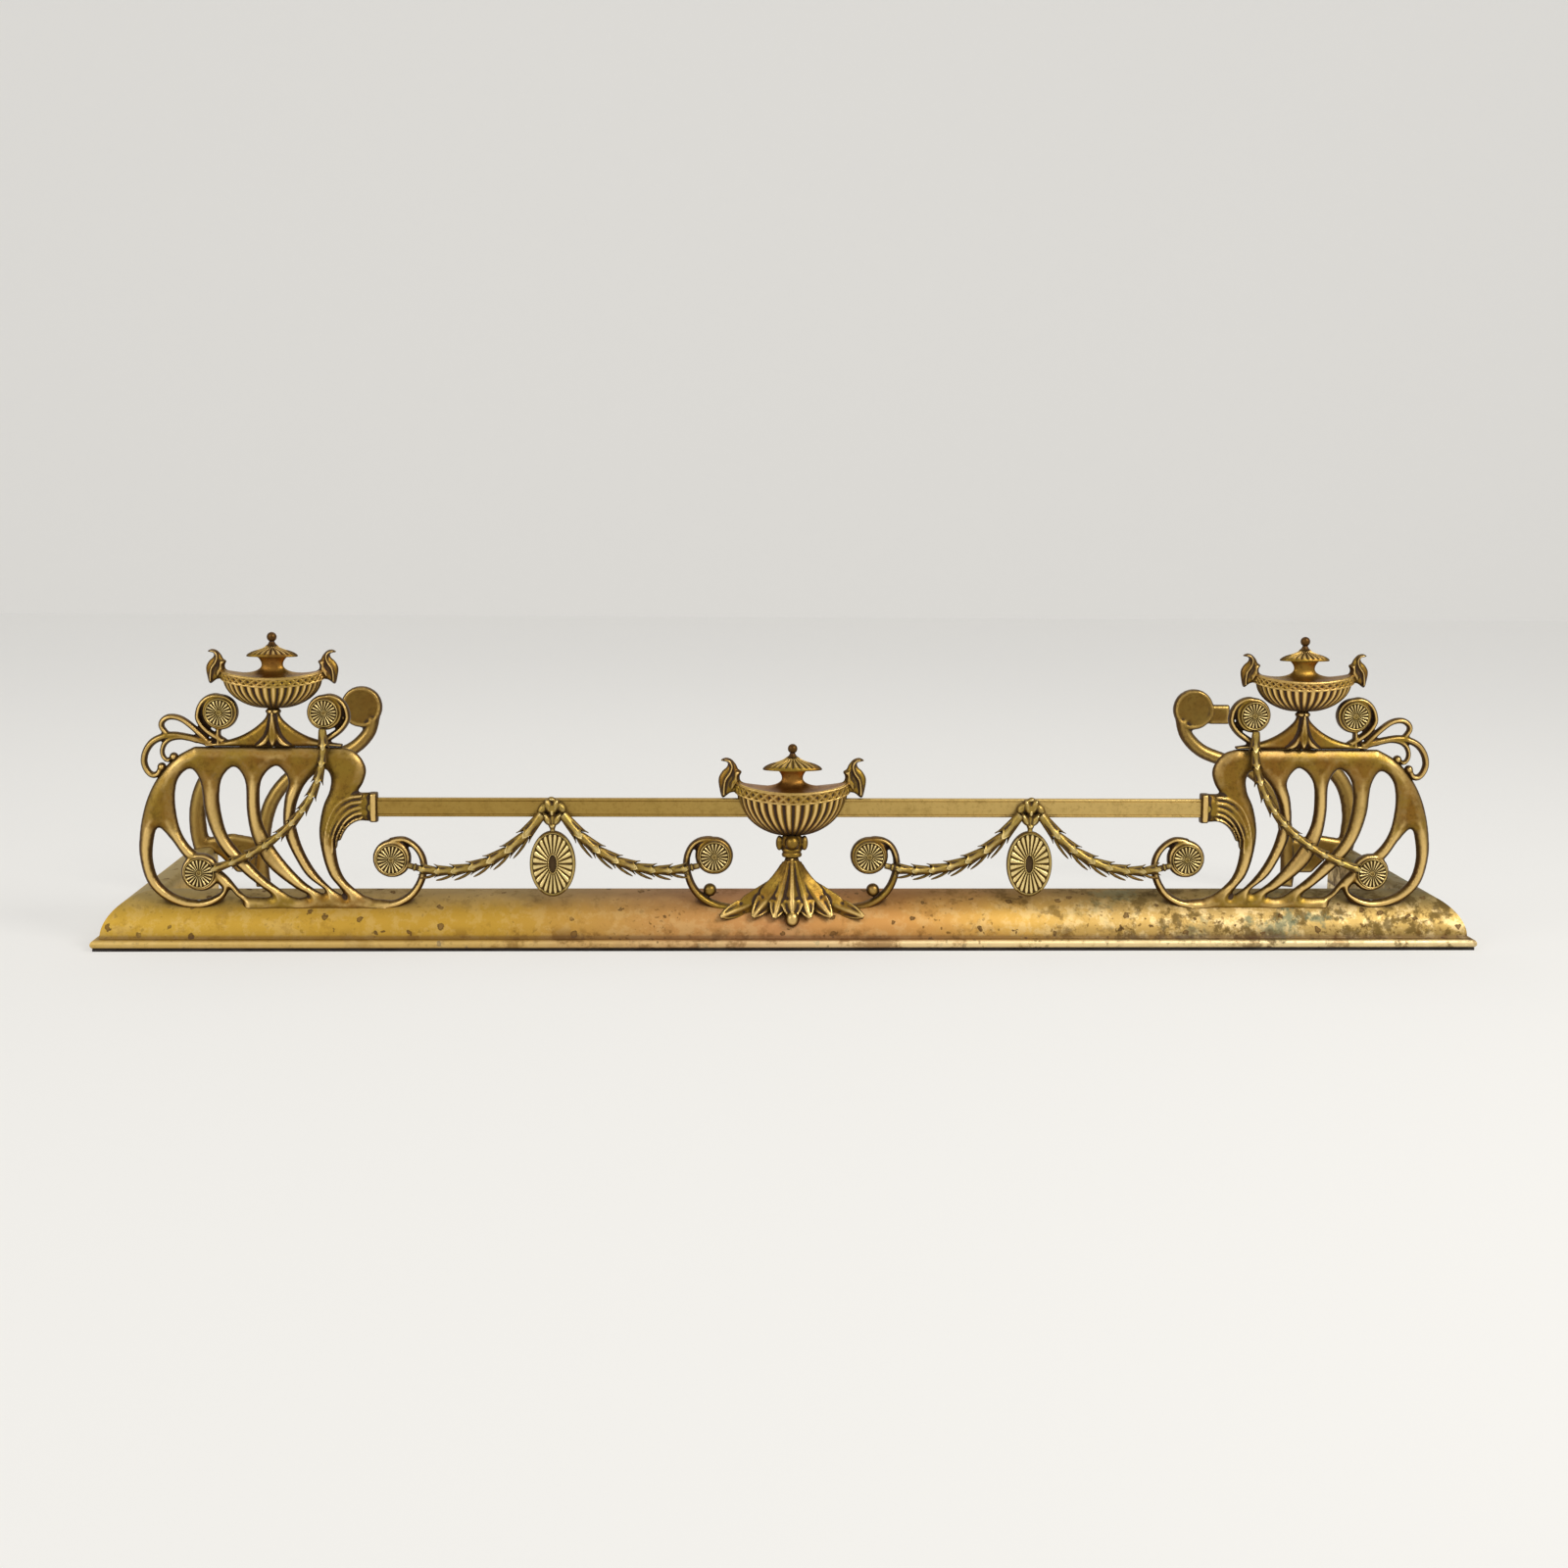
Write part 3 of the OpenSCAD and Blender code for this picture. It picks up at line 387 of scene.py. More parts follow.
# making pieces
def onlySelect(*pieces):
    bpy.ops.object.select_all(action="DESELECT")
    for piece in pieces:
        piece.select_set(True)
    bpy.context.view_layer.objects.active = pieces[0]


def named(name):
    piece = bpy.context.object
    piece.name = piece.data.name = name
    return piece


# a new primitive, alone in its selection
def added(name, primitive, **settings):
    bpy.ops.object.select_all(action="DESELECT")
    primitive(**settings)
    return named(name)


def modify(piece, kind, **settings):
    onlySelect(piece)
    modifier = piece.modifiers.new(kind.title(), kind)
    for key, value in settings.items():
        setattr(modifier, key, value)
    bpy.ops.object.modifier_apply(modifier=modifier.name)
    return piece


# shapes that overlap become one skin
def weld(piece, voxel, smoothing):
    modify(piece, "REMESH", mode="VOXEL", voxel_size=voxel)
    modify(piece, "SMOOTH", factor=0.5, iterations=smoothing)


def joined(name, pieces):
    onlySelect(*pieces)
    bpy.ops.object.join()
    return named(name)


def copied(piece, name, matrix=None):
    onlySelect(piece)
    bpy.ops.object.duplicate()
    twin = named(name)
    if matrix is not None:
        twin.data.transform(matrix)
        if matrix.determinant() < 0:
            twin.data.flip_normals()
    return twin


def readAll(data, key, width, kind=float):
    values = np.empty(len(data) * width, kind)
    data.foreach_get(key, values)
    return values.reshape(-1, width)


def getPoints(piece):
    return readAll(piece.data.vertices, "co", 3)


def setPoints(piece, points):
    piece.data.vertices.foreach_set("co", np.asarray(points, float).ravel())
    piece.data.update()


def outwardFaces(piece):
    onlySelect(piece)
    bpy.ops.object.mode_set(mode="EDIT")
    bpy.ops.mesh.select_all(action="SELECT")
    bpy.ops.mesh.remove_doubles(threshold=1e-6)
    bpy.ops.mesh.normals_make_consistent(inside=False)
    bpy.ops.object.mode_set(mode="OBJECT")


def softShade(piece, angle=None):
    onlySelect(piece)
    if angle is None:
        bpy.ops.object.shade_smooth()
    else:
        bpy.ops.object.shade_smooth_by_angle(angle=math.radians(angle))


# values on a piece's points, or one value for all, that its finish reads
def mark(piece, key, values):
    layer = piece.data.attributes.get(key) or piece.data.attributes.new(key, "FLOAT", "POINT")
    layer.data.foreach_set("value", np.full(len(piece.data.vertices), values, np.float32))


def marked(piece, key):
    return readAll(piece.data.attributes[key].data, "value", 1, np.float32)[:, 0]


# how far each point stands out from what surrounds it, in millimetres: wear with a painted highlight, and
# dirt with painted shade, follow it. With sides, what turns away from the front gets tarnish and painted
# shade too.
def markWearAndLight(piece, sides=0.0, reach=3.0, gain=1.0, dirtAndShadeGain=1.3):
    mesh, points = piece.data, getPoints(piece) / mm
    a, b = readAll(mesh.edges, "vertices", 2, np.int32).T
    count = len(points)
    links = np.maximum(np.bincount(a, minlength=count) + np.bincount(b, minlength=count), 1)
    span = np.median(np.linalg.norm(points[a] - points[b], axis=1))
    level = points.copy()
    for turn in range(int(np.clip(2 * (reach / span) ** 2, 6, 26))):  # more often on a finer mesh
        near = [np.bincount(a, level[b, k], count) + np.bincount(b, level[a, k], count) for k in range(3)]
        level = (level + np.stack(near, axis=1) / links[:, None]) / 2
    normals = readAll(mesh.vertex_normals, "vector", 3, np.float32)
    relief = ((points - level) * normals).sum(axis=1)
    mark(piece, "relief", np.where(relief > 0, gain, dirtAndShadeGain) * relief)
    if sides:
        upLit = 1 - 0.5 * np.clip(normals[:, 2], 0, 1)  # painted light: what looks up gets less of the painted shade
        mark(piece, "tarnish", sides * (1 - normals[:, 1] ** 2) * upLit)
    return piece


def dress(piece, slot, *nodes):
    if "relief" not in piece.data.attributes:
        markWearAndLight(piece)
    piece.data.materials.clear()
    piece.data.materials.append(finishes[slot])
    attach(piece, "root")
    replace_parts(piece, *nodes)
    return piece


# a front view (x, z) becomes a standing piece: local y goes up and local z comes forward
def standing(piece, x, y, z):
    piece.data.transform(Matrix.Translation((x * mm, y * mm, z * mm)) @ Matrix.Rotation(math.pi / 2, 4, "X")
                         @ Matrix.Scale(mm, 4))
    return piece


flip = Matrix.Scale(-1, 4, (1, 0, 0))
otherSide = {"left": "right", "right": "left", "Left": "Right", "Right": "Left"}


def acrossName(name):
    side = next(word for word in otherSide if word in name)
    return name.replace(side, otherSide[side])


# pieces that come in pairs: one, and its mirror image across the middle
def pair(piece, slot, node):
    dress(piece, slot, node)
    dress(copied(piece, acrossName(piece.name), flip), slot, acrossName(node))


# a section drawn as points, pulled out to its image under a scaling about a place
def pulledSection(name, points, scale=(-1, 1, 1), about=(0, 0, 0)):
    piece = added(name, bpy.ops.mesh.primitive_circle_add, vertices=len(points), fill_type="NGON")
    setPoints(piece, points)
    bpy.ops.object.mode_set(mode="EDIT")
    bpy.ops.mesh.select_all(action="SELECT")
    bpy.ops.mesh.extrude_region_move()
    bpy.ops.transform.resize(value=scale, center_override=about)
    bpy.ops.object.mode_set(mode="OBJECT")
    outwardFaces(piece)
    return piece


# rings of half width, half depth and height, joined into one closed skin
def ringForm(name, rings, steps):
    halfX, halfY, z = rings[0]
    piece = added(name, bpy.ops.mesh.primitive_circle_add, vertices=steps, radius=1, fill_type="NGON")
    piece.data.transform(Matrix.Translation((0, 0, z)) @ Matrix.Diagonal((halfX, halfY, 1, 1)))
    bpy.ops.object.mode_set(mode="EDIT")
    bpy.ops.mesh.select_all(action="SELECT")
    for nextX, nextY, nextZ in rings[1:]:
        bpy.ops.mesh.extrude_region_move(TRANSFORM_OT_translate={"value": (0, 0, nextZ - z)})
        bpy.ops.transform.resize(value=(nextX / halfX, nextY / halfY, 1), center_override=(0, 0, nextZ))
        halfX, halfY, z = nextX, nextY, nextZ
    bpy.ops.object.mode_set(mode="OBJECT")
    outwardFaces(piece)
    return piece


# how deep each point lies inside loops (an outline and its holes), 0 outside
def depthInside(points, loops):
    depth = np.full(len(points), 1e9)
    inside = np.zeros(len(points), bool)
    batch = 3000  # points at a time, to spare memory
    for loop in loops:
        a, b = loop, np.roll(loop, -1, axis=0)
        run = b - a
        length = np.maximum((run ** 2).sum(axis=1), 1e-12)
        for start in range(0, len(points), batch):
            now = slice(start, start + batch)
            p = points[now, None, :]
            t = np.clip(((p - a) * run).sum(axis=2) / length, 0, 1)
            gap = p - a - t[..., None] * run
            depth[now] = np.minimum(depth[now], np.sqrt((gap ** 2).sum(axis=2).min(axis=1)))
            rising = (a[:, 1] > p[..., 1]) != (b[:, 1] > p[..., 1])
            with np.errstate(divide="ignore", invalid="ignore"):
                crossing = a[:, 0] + (p[..., 1] - a[:, 1]) * run[:, 0] / run[:, 1]
            inside[now] ^= (rising & (p[..., 0] < crossing)).sum(axis=1) % 2 == 1
    return np.where(inside, depth, 0)


# the deepest place near each point, so that a narrow rib swells as fully as a wide one
def nearDeepest(points, depth, reach):
    low = points.min(axis=0) - reach - 2
    cell = np.round(points - low).astype(int)
    grid = np.zeros(cell.max(axis=0) + int(reach) + 3)
    np.maximum.at(grid, (cell[:, 0], cell[:, 1]), depth)
    for axis in (0, 1):
        best = grid.copy()
        for shift in range(1, int(math.ceil(reach)) + 1):
            best = np.maximum(best, np.maximum(np.roll(grid, shift, axis), np.roll(grid, -shift, axis)))
        grid = best
    for blur in range(6):
        grid = (grid + sum(np.roll(grid, shift, axis) for axis in (0, 1) for shift in (1, -1))) / 5
    return grid[cell[:, 0], cell[:, 1]]


# one shape of a casting: its outline and holes, how far in from the edge it swells, its half thickness
# where it is fullest, and the share of that which stands at the edge
def cast(loops, edge, tall, low=0.25):
    return {"loops": [np.array(loop, float) for loop in loops], "edge": edge, "tall": tall, "low": low}


# a casting from the shapes of its front view, front and back alike
def castPlate(name, shapes, voxel):
    blanks, core = [], 2.0  # half thickness of the blanks
    for shape in shapes:
        curve = bpy.data.curves.new(name, "CURVE")
        curve.dimensions = "2D"
        curve.fill_mode = "BOTH"
        curve.extrude = core
        for loop in shape["loops"]:
            spline = curve.splines.new("POLY")
            spline.points.add(len(loop) - 1)
            for point, (x, z) in zip(spline.points, loop):
                point.co = (x, z, 0, 1)
            spline.use_cyclic_u = True
        blank = bpy.data.objects.new(name, curve)
        bpy.context.scene.collection.objects.link(blank)
        onlySelect(blank)
        bpy.ops.object.convert(target="MESH")
        blanks.append(modify(bpy.context.object, "REMESH", mode="VOXEL", voxel_size=voxel * 0.9))
    piece = joined(name, blanks)
    weld(piece, voxel, 3)
    points = getPoints(piece)
    swell = np.zeros(len(points))
    for shape in shapes:
        edge, low = shape["edge"], shape["low"]
        depth = depthInside(points[:, :2], shape["loops"])
        width = edge
        if edge > 3:  # a wide shape has narrow ribs too
            width = np.clip(nearDeepest(points[:, :2], depth, edge * 0.8), 0.8, edge)
        share = np.clip(depth / width, 0, 1)
        rise = low + (1 - low) * (0.7 * np.sin(share * math.pi / 2) + 0.3 * np.sqrt(1 - (1 - share) ** 2))
        swell = np.maximum(swell, np.where(depth > 0, rise * shape["tall"], 0))
    swell = np.where(swell > 0, swell, min(s["low"] * s["tall"] for s in shapes))
    points[:, 2] *= swell / core
    setPoints(piece, points)
    modify(piece, "SMOOTH", factor=0.5, iterations=2)
    softShade(piece)
    return piece


# kerb: one pressed section, mitred at the corners
kerb = {"width": 60, "height": 53, "sheet": 2, "bead": 4.2, "roll": 5, "flange": 6, "frame": 2.5,
        "ovoloStart": (8, 14), "ovoloPower": 1.15}


def ovolo(turn):
    startU, startZ = kerb["ovoloStart"]
    run, rise = kerb["width"] - kerb["roll"] - startU, kerb["height"] - startZ
    return (startU + run * (1 - math.cos(turn)), startZ + rise * math.sin(turn) ** kerb["ovoloPower"])


def kerbSection():
    bead, roll, frameTop = kerb["bead"], kerb["roll"], kerb["frame"]
    line = [(bead + kerb["flange"], frameTop)]
    line += [arcPoint(bead, frameTop + bead, bead, a) for a in np.linspace(270, 90, 25)]
    line.append((kerb["ovoloStart"][0] - 1, frameTop + 2 * bead + 0.7))
    line += [ovolo(math.radians(a)) for a in np.linspace(0, 90, 46)]
    line += [arcPoint(kerb["width"] - roll, kerb["height"] - roll, roll, a) for a in np.linspace(80, 0, 9)]
    line += [(kerb["width"], frameTop), (kerb["width"] - kerb["flange"], frameTop)]
    outer = np.array(line)
    run = np.diff(outer, axis=0)
    run /= np.linalg.norm(run, axis=1)[:, None]
    side = np.stack([run[:, 1], -run[:, 0]], axis=1)
    before, after = np.vstack([side[:1], side]), np.vstack([side, side[-1:]])
    inner = outer + kerb["sheet"] * (before + after) / (1 + (before * after).sum(axis=1))[:, None]
    return np.concatenate([outer, inner[::-1]])


def kerbPiece(name, scale, about):
    halfWidth, halfDepth = fender["halfWidth"], fender["halfDepth"]
    points = [((u - halfWidth) * mm, (u - halfDepth) * mm, z * mm) for u, z in kerbSection()]
    piece = pulledSection(name, points, scale, about)
    softShade(piece, 35)
    return piece


# the front's far end is the mirror image of this one, and a return is cut square at the rear
dress(kerbPiece("kerbFront", (-1, 1, 1), (0, 0, 0)), "kerb_brass", "kerb_front")
pair(kerbPiece("kerbReturnLeft", (1, 0, 1), (0, fender["halfDepth"] * mm, 0)), "kerb_brass",
     "kerb_return_left")


# the kerb's body as a cutter, so that a casting's foot follows the slope
def kerbCutter():
    section = kerbSection()
    outer = list(section[:len(section) // 2])
    outer = [(outer[0][0], -1)] + outer + [(kerb["width"], -1)]
    return pulledSection("kerbCutter", [(-fender["halfWidth"] * mm, (u - fender["halfDepth"]) * mm, z * mm)
                                        for u, z in outer])


cutter = kerbCutter()
sideCutter = copied(cutter, "sideCutter", Matrix.Rotation(-math.pi / 2, 4, "Z"))
sideCutter.data.transform(Matrix.Translation(((fender["halfDepth"] - fender["halfWidth"]) * mm, 0, 0)))


def cutFoot(piece, tool):
    modify(piece, "BOOLEAN", operation="DIFFERENCE", object=tool, solver="EXACT")
    softShade(piece, 60)


print("kerb pressed")

# end panels: x from the outermost point inwards, z above the hearth
panel = {
    "leftEdge": [[56, 199], [38, 189], [25, 176], [14, 159], [6, 139], [1, 115], [0, 91], [6, 66],
                 [19, 50], [38, 40], [55, 37.5], [68, 40], [80, 47], [87, 58]],
    "foot": [[93, 51], [99, 46], [99, 34], [244, 34], [244, 47], [228, 48]],
    "neckLow": [[217, 52], [207, 60], [199, 69], [194, 81], [191.5, 96], [192, 107], [196, 117.1],
                [204, 123.1], [214, 126.1]],
    "collar": [[233, 125.1], [233, 154.1], [214, 154.1]],
    "neckHigh": [[214, 156], [219, 164], [222, 176], [218, 187], [210, 195], [198, 199]],
    "gaps": [
        [[19, 119], [14, 105], [13, 86], [18, 68], [29, 56], [43, 49.5], [58, 47.5], [71, 51], [79, 59],
         [60, 75], [43, 90], [31, 107]],
        [[52, 177], [40, 168], [36, 151], [37, 132], [41, 115], [50, 100], [66, 86], [84, 72],
         [100, 53], [112, 50], [127, 51], [114, 62], [101, 73], [88, 86], [78, 99], [70, 115],
         [64, 136], [61, 163]],
        [[94, 179], [82, 168], [79, 147], [82, 125], [87, 110], [96, 97], [106, 86], [120, 71],
         [136, 58], [149, 50], [163, 51], [150, 59], [132, 73], [120, 86], [113, 100], [108, 115],
         [105, 136], [104, 165]],
        [[135, 180], [121, 168], [118, 147], [120, 125], [126, 110], [133, 97], [145, 81], [160, 65],
         [176, 54], [179, 57], [162, 71], [150, 91], [142, 110], [140, 127], [142, 148], [146, 166]],
        [[180, 177], [164, 164], [155, 146], [152, 129], [154, 115], [160, 96], [171, 76], [186, 59],
         [199, 51], [193, 60], [184, 72], [178, 91], [175, 115], [179, 139], [186, 156], [187, 170]]],
    "eyes": [[59, 75], [246, 88.6]],
    "scroll": [[226, 42], [247, 42.5], [263, 50.5], [273, 64], [277, 79], [275, 91], [268, 101],
               [257, 107.5], [244, 106]],
    "flutes": [[[181.5, 94], [181.5, 110], [185, 126], [193, 141], [205, 149], [219, 151.2]],
               [[185.2, 92], [184.8, 108], [188, 121], [195, 134], [206, 143], [219, 145.6]],
               [[188.6, 94], [188.4, 106], [191.4, 117], [198, 128.4], [208, 137], [219, 140]],
               [[191.8, 99], [192.6, 108.4], [195.8, 116.8], [201.6, 125.6], [210, 132], [219, 134.4]],
               [[195, 106], [198.2, 114], [203.2, 121.4], [210.6, 126.8], [219, 129]]],
    "socket": [[225, 124.4], [233.4, 124.4], [233.4, 154.8], [225, 154.8]],
}


def panelShapes():
    outline = np.concatenate([openCurve(panel["leftEdge"]), panel["foot"], openCurve(panel["neckLow"]),
                              panel["collar"], openCurve(panel["neckHigh"])])
    half = fender["castingThick"] / 2
    shapes = [cast([outline] + [closedCurve(g) for g in panel["gaps"]], edge=11, tall=half, low=0.18)]
    shapes += [cast([disc(e, fender["eyeRadius"])], edge=2.5, tall=half, low=0.55) for e in panel["eyes"]]
    shapes.append(cast([band(panel["scroll"], 9, 6)], edge=4, tall=half * 0.9))
    shapes += [cast([band(f, 1.8, 5)], edge=2.5, tall=half * 1.22, low=0.5) for f in panel["flutes"]]
    shapes.append(cast([panel["socket"]], edge=1.6, tall=half * 1.32, low=0.75))
    return shapes


panelLeft = standing(castPlate("panelLeft", panelShapes(), 1.1), fender["panelX"], fender["midY"], 0)
cutFoot(panelLeft, cutter)
markWearAndLight(panelLeft, sides=1.0, reach=4.5)
pair(panelLeft, "cast_brass", "panel_left")
print("end panels cast", len(panelLeft.data.polygons))

# cresting: x as on the panel, z above the top bar
crest = {
    "foot": [[-67, 3], [-50, 5.5], [-34, 10], [-20, 17.5], [-10, 26], [-6.5, 31]],
    "seat": 38, "middle": 133, "eyes": [[82, 34], [183, 34]], "eyeRadius": 17.5,
    "sprays": [  # path, and width at each end
        ([[74, 3], [50, 9], [33, 11], [18, 6], [10, -3], [7, -14], [9.5, -23], [14.5, -28], [20, -27],
          [23, -21]], 7.5, 6),
        ([[60, 6], [46, 9.5], [34, 8], [27, 2.5], [24.8, -4]], 7, 4.6),
        ([[27.5, 3], [25, -3], [25.4, -9], [28.6, -13], [33, -13.4]], 5, 4.4),
        ([[70, 4], [56, 18], [44, 27], [33, 29], [26, 25], [25, 19], [31, 11]], 6.5, 5.6)],
    "balls": [[24, -20], [36, -10]], "ballRadius": 4.4,
    "ring": [(4.4, 30), (5, 32), (6.8, 33), (7.6, 34.4), (7.4, 35.8), (6.2, 36.8), (5, 37.8)],
    "leaf": [[0, 37], [3, 27], [4.6, 14], [3.6, 5], [0, 0.4], [-3.6, 5], [-4.6, 14], [-3, 27]],
    "sideLeaf": [[2, 30], [4, 20], [8, 10], [15, 3], [17, 0.8], [9, 1.2], [3.5, 7], [1, 18]],
}


def crestShapes():
    half, r = fender["castingThick"] / 2, crest["eyeRadius"]
    flank = np.concatenate([[[-67, 0]], openCurve(crest["foot"]), [[-6.5, crest["seat"]]]])
    foot = np.concatenate([flank, flank[::-1] * [-1, 1]]) + [crest["middle"], 0]
    shapes = [cast([foot], edge=6, tall=half * 0.9, low=0.3)]
    for side, (x, z) in zip((1, -1), crest["eyes"]):
        shapes.append(cast([disc((x, z), r)], edge=2, tall=half, low=0.6))
        arc = [arcPoint(0, z, r - 2 + 7 * (a - 90) / 110, a) for a in range(200, 89, -22)]
        arc = [[x + side * across, up] for across, up in arc]
        wrap = [[x + 4 * side, z - r - 12], [x - 13 * side, z - r - 1]] + arc
        shapes.append(cast([band(wrap, 7, 5)], edge=3.4, tall=half * 1.05, low=0.3))
    x, z = crest["eyes"][0]
    stem = [[x - 5, 0], [x, 0], [x, z - r + 2], [x - 5, z - r + 2]]
    shapes.append(cast([stem], edge=2.4, tall=half, low=0.3))
    shapes += [cast([band(*spray)], edge=3, tall=half * 0.85, low=0.3) for spray in crest["sprays"]]
    ballRadius = crest["ballRadius"]
    shapes += [cast([disc(b, ballRadius, 24)], edge=ballRadius, tall=half * 0.95, low=0.3)
               for b in crest["balls"]]
    for leaf, side, tall in (("leaf", 1, 1.8), ("sideLeaf", 1, 1.55), ("sideLeaf", -1, 1.55)):
        outline = closedCurve(crest[leaf]) * [side, 1] + [crest["middle"], 0]
        shapes.append(cast([outline], edge=3.2, tall=half * tall, low=0.75))
    return shapes


crestPlate = standing(castPlate("crestLeft", crestShapes(), 0.95), fender["panelX"], fender["midY"],
                      fender["barZ"])
crestRing = ringForm("crestRing", [(r, r * 0.95, z) for r, z in crest["ring"]], 36)
setPoints(crestRing, (getPoints(crestRing) + [fender["urnX"], fender["midY"], fender["barZ"]]) * mm)
crestLeft = markWearAndLight(joined("crestLeft", [crestPlate, crestRing]), sides=0.9, reach=2.2)
softShade(crestLeft)
pair(crestLeft, "cast_brass", "crest_left")
print("cresting cast", len(crestLeft.data.polygons))

# urns: gadrooned bowls flattened to 0.45 of their width, boat-shaped at the rim
urn = {
    "flat": 0.45, "footRadius": 9, "neckRadius": 10.4, "flare": 4.4, "flutes": 36, "fluteDeep": 2.6,
    "waist": 0.56,  # its height, as a share of the neck's
    "frets": 36, "fretDeep": 1.1, "lidPitch": 0.45, "lidFlutes": 24, "lidFluteDeep": 1.4, "handleThick": 8,
    "lidOutline": [(0.60, 0.06), (0.90, 0.02), (0.98, 0.02), (1.0, 0.07), (0.985, 0.15), (0.94, 0.25),
                   (0.86, 0.36), (0.76, 0.46), (0.65, 0.54), (0.54, 0.61), (0.44, 0.68), (0.35, 0.76),
                   (0.27, 0.86)],  # shares of the lid's radius and of its height
    "side": {"x": fender["urnX"], "foot": 237, "rim": 273, "radius": 50, "neck": 14, "lid": 25, "sag": 5.6,
             "horn": 1.6, "bandHigh": 8.6, "copper": 0.35, "handle": (0.95, 0.86)},
    "centre": {"x": 0, "foot": 112, "rim": 164, "radius": 57, "neck": 13, "lid": 29.5, "sag": 7.4,
               "horn": 2.0, "bandHigh": 10.6, "copper": 0.85, "handle": (1.1, 1.02)},
    "handleEdge": [[12.8, 22.0], [8.6, 24.8], [3.2, 23.4], [-1.2, 18.2], [-3.0, 14.0], [-6.3, 11.2],
                   [-4.6, 7.0], [-5.5, 2.2], [-10.5, -1.6], [-3.5, -8.0], [4.0, -9.5], [10.8, -14.2],
                   [13.6, -5.0], [14.4, 4.5], [11.2, 11.5], [7.2, 15.6], [6.2, 19.2], [8.4, 21.0]],
    "handleRib": [[10.0, 22.6], [5.2, 21.6], [2.6, 16.5], [4.2, 10.0], [8.4, 3.0], [9.6, -4.5],
                  [9.8, -12.5]],
    "handleLobe": [[-1.0, 13.0], [-5.4, 10.6], [-3.6, 6.4], [-4.0, 1.0], [-0.5, -4.5], [3.5, -7.0],
                   [5.0, -1.0], [2.0, 5.0], [1.2, 10.0]],
    "finial": [(5.2, 0), (4.2, 0.9), (3.3, 2.0), (2.7, 3.2), (2.5, 4.2)], "finialRadius": 4.8,
}


def spread(points):  # angle round the urn's axis, and distance from it as if the urn were round
    depth = points[:, 1] / urn["flat"]
    return np.arctan2(depth, points[:, 0]), np.hypot(points[:, 0], depth)


def intoPlace(piece, points, s):
    setPoints(piece, (points + [s["x"], fender["midY"], 0]) * mm)
    softShade(piece, 50)


def bowl(name, s):
    foot, rim, radius, neck, bandHigh = [s[key] for key in ("foot", "rim", "radius", "neck", "bandHigh")]
    high, base, fretHigh = rim - foot, rim - bandHigh, bandHigh - 3.6
    profile = []
    for a in np.radians(np.linspace(0, 90, 20)):
        profile.append((urn["footRadius"] + (radius - urn["footRadius"] - 2.4) * math.sin(a) ** 1.15,
                        foot + (high - bandHigh - 1) * (1 - math.cos(a) ** 1.1)))
    profile += [(radius + 0.2, base - 0.5), (radius + 0.6, base + 0.2), (radius + 0.2, base + 0.9)]
    profile += [(radius - 1.0, base + 1.3 + fretHigh * k / 9) for k in range(10)]
    profile += [(radius + 0.1, rim - 1.8), (radius + 0.6, rim - 1.0), (radius - 0.2, rim - 0.1),
                (radius - 2.4, rim + 0.2)]
    # a flat shoulder, a narrow waist and a flare under the lid
    inner, outer, seam, waist = urn["neckRadius"], radius - 4, rim + 0.8, neck * urn["waist"]
    for a in np.radians(np.linspace(0, 90, 16)):
        profile.append((inner + (outer - inner) * (1 - math.sin(a)) ** 1.25,
                        seam + waist * (1 - math.cos(a) ** 1.2)))
    profile += [(inner + urn["flare"] * k * k, seam + waist + (rim + neck - seam - waist) * k)
                for k in (0.25, 0.5, 0.75, 1.0)]
    piece = ringForm(name, [(r, r * urn["flat"], z) for r, z in profile], urn["flutes"] * 10)
    p = getPoints(piece)
    turn, reach = spread(p)
    share = reach / radius
    # flutes on the body and frets on the band
    body = (p[:, 2] > foot + 0.5) & (p[:, 2] < base - 0.8)
    up = (p[:, 2] - base - 1.3) / fretHigh
    fretted = (up > -0.02) & (up < 1.02) & (reach > radius - 1.4)
    fade = np.clip((base - 0.6 - p[:, 2]) / 2.5, 0.25, 1)
    ridge = np.abs(np.sin(turn * urn["flutes"] / 2)) ** 1.1
    groove = (1 - ridge) * (urn["fluteDeep"] * share ** 0.6 + 0.2) * fade
    wave = turn * urn["frets"]
    fret = np.maximum(np.cos(wave + (up - 0.5) * 5.2), np.cos(wave - (up - 0.5) * 5.2))
    grow = np.where(body, -groove, 0) + np.where(fretted, fret * urn["fretDeep"], 0)
    p[:, :2] *= (1 + grow / np.maximum(reach, 1))[:, None]
    # the rim rises at its ends and sags in the middle, and the shoulder sags with it
    weight = np.clip(share, 0, 1) ** 2 * np.clip((p[:, 2] - foot) / (high * 0.7), 0, 1)
    shoulder = p[:, 2] > rim + 0.4
    climb = np.clip((p[:, 2] - seam) / (rim + neck - seam), 0, 1)
    sunk = np.where(shoulder, s["sag"] * (1 - np.clip(share, 0, 1) ** 2) * (1 - climb), 0)
    p[:, 2] += (s["horn"] * np.cos(turn) ** 12 - s["sag"] * np.sin(turn) ** 2) * weight - sunk
    intoPlace(piece, p, s)
    # the shoulder's coppery tone, darkened and browned, is partly painted shade
    mark(piece, "copper", shoulder * s["copper"])
    # painted highlight on the flutes' ridges and the frets, painted shade in their grooves and a little on
    # the shoulder
    mark(piece, "relief", np.select([body, fretted, shoulder],
                                    [(ridge ** 1.8 - 0.42) * 1.7, (fret - 0.15) * 0.55, -0.06], 0.5))
    # painted shade towards the foot and on the sides that turn away
    nearFoot = np.clip(1 - (p[:, 2] - foot) / (high * 0.3), 0, 1)
    mark(piece, "tarnish", np.where(body, 0.5 * nearFoot + 0.5 * np.cos(turn) ** 8, 0))
    return piece


